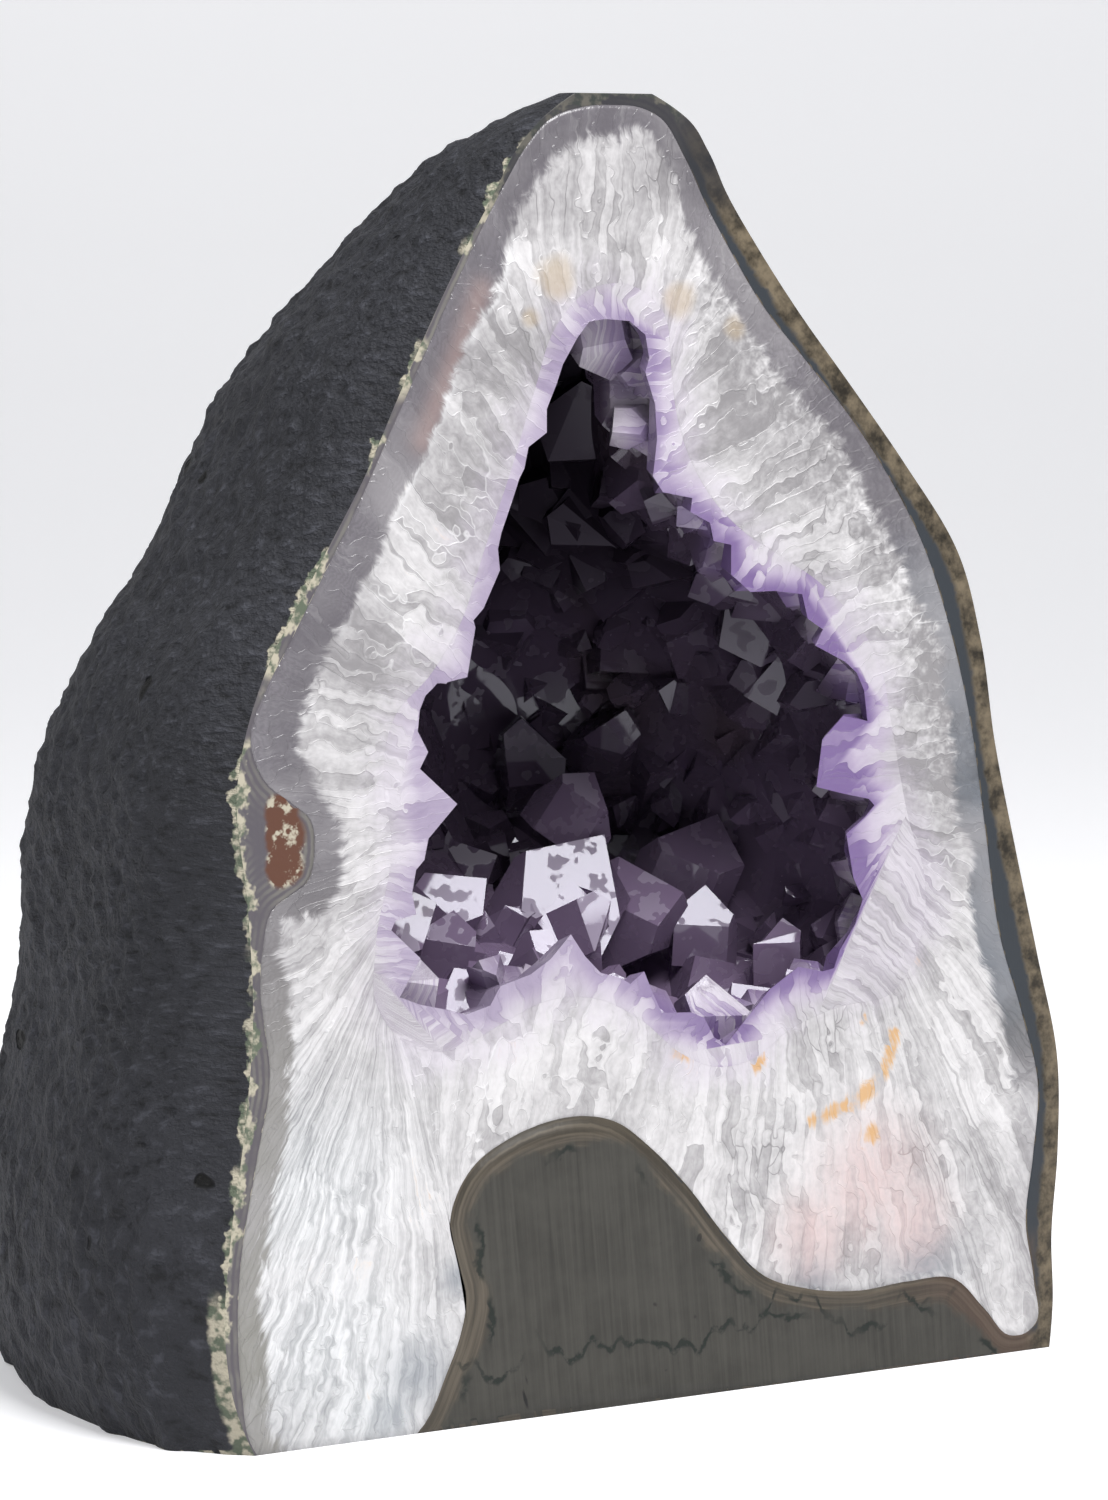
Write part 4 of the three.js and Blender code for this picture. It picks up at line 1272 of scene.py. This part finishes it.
class GeodeColours(bpy.types.PropertyGroup):
    """Colours of the geode's stones."""

    paint: swatch("Paint", "Dark paint on the outside", (0.0205, 0.0212, 0.0255))
    cream: swatch("Cream", "Crumbs of bare stone along the edge", (0.42, 0.385, 0.3))
    moss: swatch("Moss", "Greenish crumbs along the edge", (0.1, 0.12, 0.085))
    basalt: swatch("Basalt", "Sawn rock at the foot", (0.034, 0.0325, 0.028))
    border: swatch("Border", "Brown grey border of the sawn rock", (0.085, 0.07, 0.052))
    vein: swatch("Vein", "Green black veins of the sawn rock", (0.007, 0.012, 0.0095))
    tan: swatch("Tan", "Rough outer strip on the right", (0.105, 0.084, 0.056))
    rust: swatch("Rust", "Plug in the notch", (0.1, 0.042, 0.026))
    chalcedony: swatch("Chalcedony", "Grey rim of the quartz", (0.095, 0.086, 0.1))
    olive: swatch("Olive", "Rim of the quartz low on the left", (0.21, 0.205, 0.175))
    blue_grey: swatch("Blue grey", "Rim of the quartz on the right", (0.085, 0.1, 0.12))
    blush: swatch("Blush", "Pink brown streak of the rim", (0.32, 0.215, 0.195))
    quartz: swatch("Quartz", "Milky white quartz", (0.655, 0.64, 0.645))
    quartz_shade: swatch("Quartz shade", "Quartz between its shards", (0.235, 0.225, 0.232))
    ice_shade: swatch("Ice shade", "Icy quartz of the foot between its fibres", (0.36, 0.385, 0.4))
    blue_shade: swatch("Blue shade", "Clear quartz that shows the dark behind it", (0.14, 0.16, 0.19))
    lavender: swatch("Lavender", "Quartz at the root of the crystals", (0.37, 0.295, 0.435))
    pink: swatch("Pink", "Pink quartz low on the right", (0.58, 0.42, 0.41))
    stain: swatch("Stain", "Yellow brown stains at the top", (0.4, 0.3, 0.17))
    orange: swatch("Orange", "Iron vein on the right", (0.55, 0.3, 0.09))
    violet: swatch("Violet", "Tips of the crystals that the saw cut", (0.125, 0.07, 0.215))
    amethyst: swatch("Amethyst", "Surface of the crystals in the hollow", (0.2, 0.145, 0.235))
    smoke: swatch("Smoke", "Smoky crystals among them", (0.075, 0.055, 0.05))
    amethyst_depth: swatch("Amethyst depth", "Light that the crystals let through", (0.5, 0.36, 0.64))


class GEODE_OT_rock(bpy.types.Operator):
    """Builds the painted shell with its sawn front"""

    bl_idname = "geode.rock"
    bl_label = "Build rock"

    def execute(self, context):
        sizes, colours = context.scene.geode_sizes, context.scene.geode_colours
        mesh = rock_mesh(sizes)
        paint, sawn = paint_finish(colours), sawn_finish(colours)
        rock = piece("rock", mesh, "basalt_shell", [paint, sawn, sawn])
        rock.data.shade_smooth()
        return {"FINISHED"}


class GEODE_OT_quartz(bpy.types.Operator):
    """Builds the quartz wall"""

    bl_idname = "geode.quartz"
    bl_label = "Build quartz"

    def execute(self, context):
        colours = context.scene.geode_colours
        piece("quartz", quartz_mesh(), "quartz_wall", [quartz_finish(colours)])
        return {"FINISHED"}


class GEODE_OT_crust(bpy.types.Operator):
    """Grows the amethyst crust"""

    bl_idname = "geode.crust"
    bl_label = "Grow crust"

    def execute(self, context):
        sizes, colours = context.scene.geode_sizes, context.scene.geode_colours
        piece("crust", crust_mesh(sizes), "amethyst_crust", [crust_finish(colours)])
        return {"FINISHED"}


class GEODE_OT_stage(bpy.types.Operator):
    """Sets the floor, the lights and the camera"""

    bl_idname = "geode.stage"
    bl_label = "Set stage"

    def execute(self, context):
        scene = context.scene
        columns, floor_rows, rise_rows = 25, 30, 20
        points = sweep_points(columns, floor_rows, rise_rows)
        faces = grid_faces(columns, floor_rows + rise_rows)[:, ::-1]
        mesh = bpy.data.meshes.new("floor")
        mesh.from_pydata(points.tolist(), [], faces.tolist())
        mesh.shade_smooth()
        floor = bpy.data.objects.new("floor", mesh)
        scene.collection.objects.link(floor)
        f = Finish("white sweep")
        cloud = f.noise(1.5, 2.0)
        white = f.mix(cloud, (0.88, 0.88, 0.90, 1), (0.91, 0.91, 0.92, 1))
        mesh.materials.append(f.shade({
            "Base Color": white, "Roughness": 0.9, "Emission Color": white, "Emission Strength": 0.25}))
        f.material.cycles.emission_sampling = "NONE"
        # Lights.
        world = bpy.data.worlds.new("studio")
        world.use_nodes = True
        sky = world.node_tree.nodes["Background"]
        sky.inputs["Color"].default_value = (0.96, 0.97, 1.0, 1)
        sky.inputs["Strength"].default_value = 0.3
        scene.world = world
        softbox("main softbox", (0.05, -0.70, 1.20), (0, -0.05, 0.13), 0.72, 22)
        softbox("left softbox", (-1.3, 0.1, 1.1), (-0.05, 0, 0.15), 0.9, 8)
        # Camera.
        camera = bpy.data.cameras.new("camera")
        camera.lens = 120
        camera.sensor_width = 36
        camera.sensor_fit = "AUTO"
        camera.clip_start = 0.05
        eye = bpy.data.objects.new("camera", camera)
        eye.location = (-0.5583, -1.0117, 0.2590)
        eye.rotation_euler = (math.radians(90 - CAMERA_DIP), 0, math.radians(CAMERA_TURN))
        scene.collection.objects.link(eye)
        scene.camera = eye
        scene.view_settings.view_transform = "Standard"
        scene.cycles.max_bounces = 5
        scene.cycles.diffuse_bounces = 2
        scene.cycles.glossy_bounces = 3
        scene.cycles.transmission_bounces = 3
        return {"FINISHED"}


class GEODE_PT_panel(bpy.types.Panel):
    """Lists the geode's pieces"""

    bl_idname = "GEODE_PT_panel"
    bl_label = "Geode"
    bl_space_type = "VIEW_3D"
    bl_region_type = "UI"
    bl_category = "Geode"

    def draw(self, context):
        for operator in (GEODE_OT_rock, GEODE_OT_quartz, GEODE_OT_crust, GEODE_OT_stage):
            self.layout.operator(operator.bl_idname)
        for group in (context.scene.geode_sizes, context.scene.geode_colours):
            for key in group.__annotations__:
                self.layout.prop(group, key)


CLASSES = (
    GeodeSizes, GeodeColours, GEODE_OT_rock, GEODE_OT_quartz, GEODE_OT_crust, GEODE_OT_stage, GEODE_PT_panel,
)


def register():
    for kind in CLASSES:
        bpy.utils.register_class(kind)
    bpy.types.Scene.geode_sizes = PointerProperty(type=GeodeSizes)
    bpy.types.Scene.geode_colours = PointerProperty(type=GeodeColours)


def unregister():
    del bpy.types.Scene.geode_colours
    del bpy.types.Scene.geode_sizes
    for kind in reversed(CLASSES):
        bpy.utils.unregister_class(kind)


def main():
    register()
    bpy.ops.geode.stage()
    bpy.ops.geode.rock()
    bpy.ops.geode.quartz()
    bpy.ops.geode.crust()


if __name__ == "__main__":
    main()
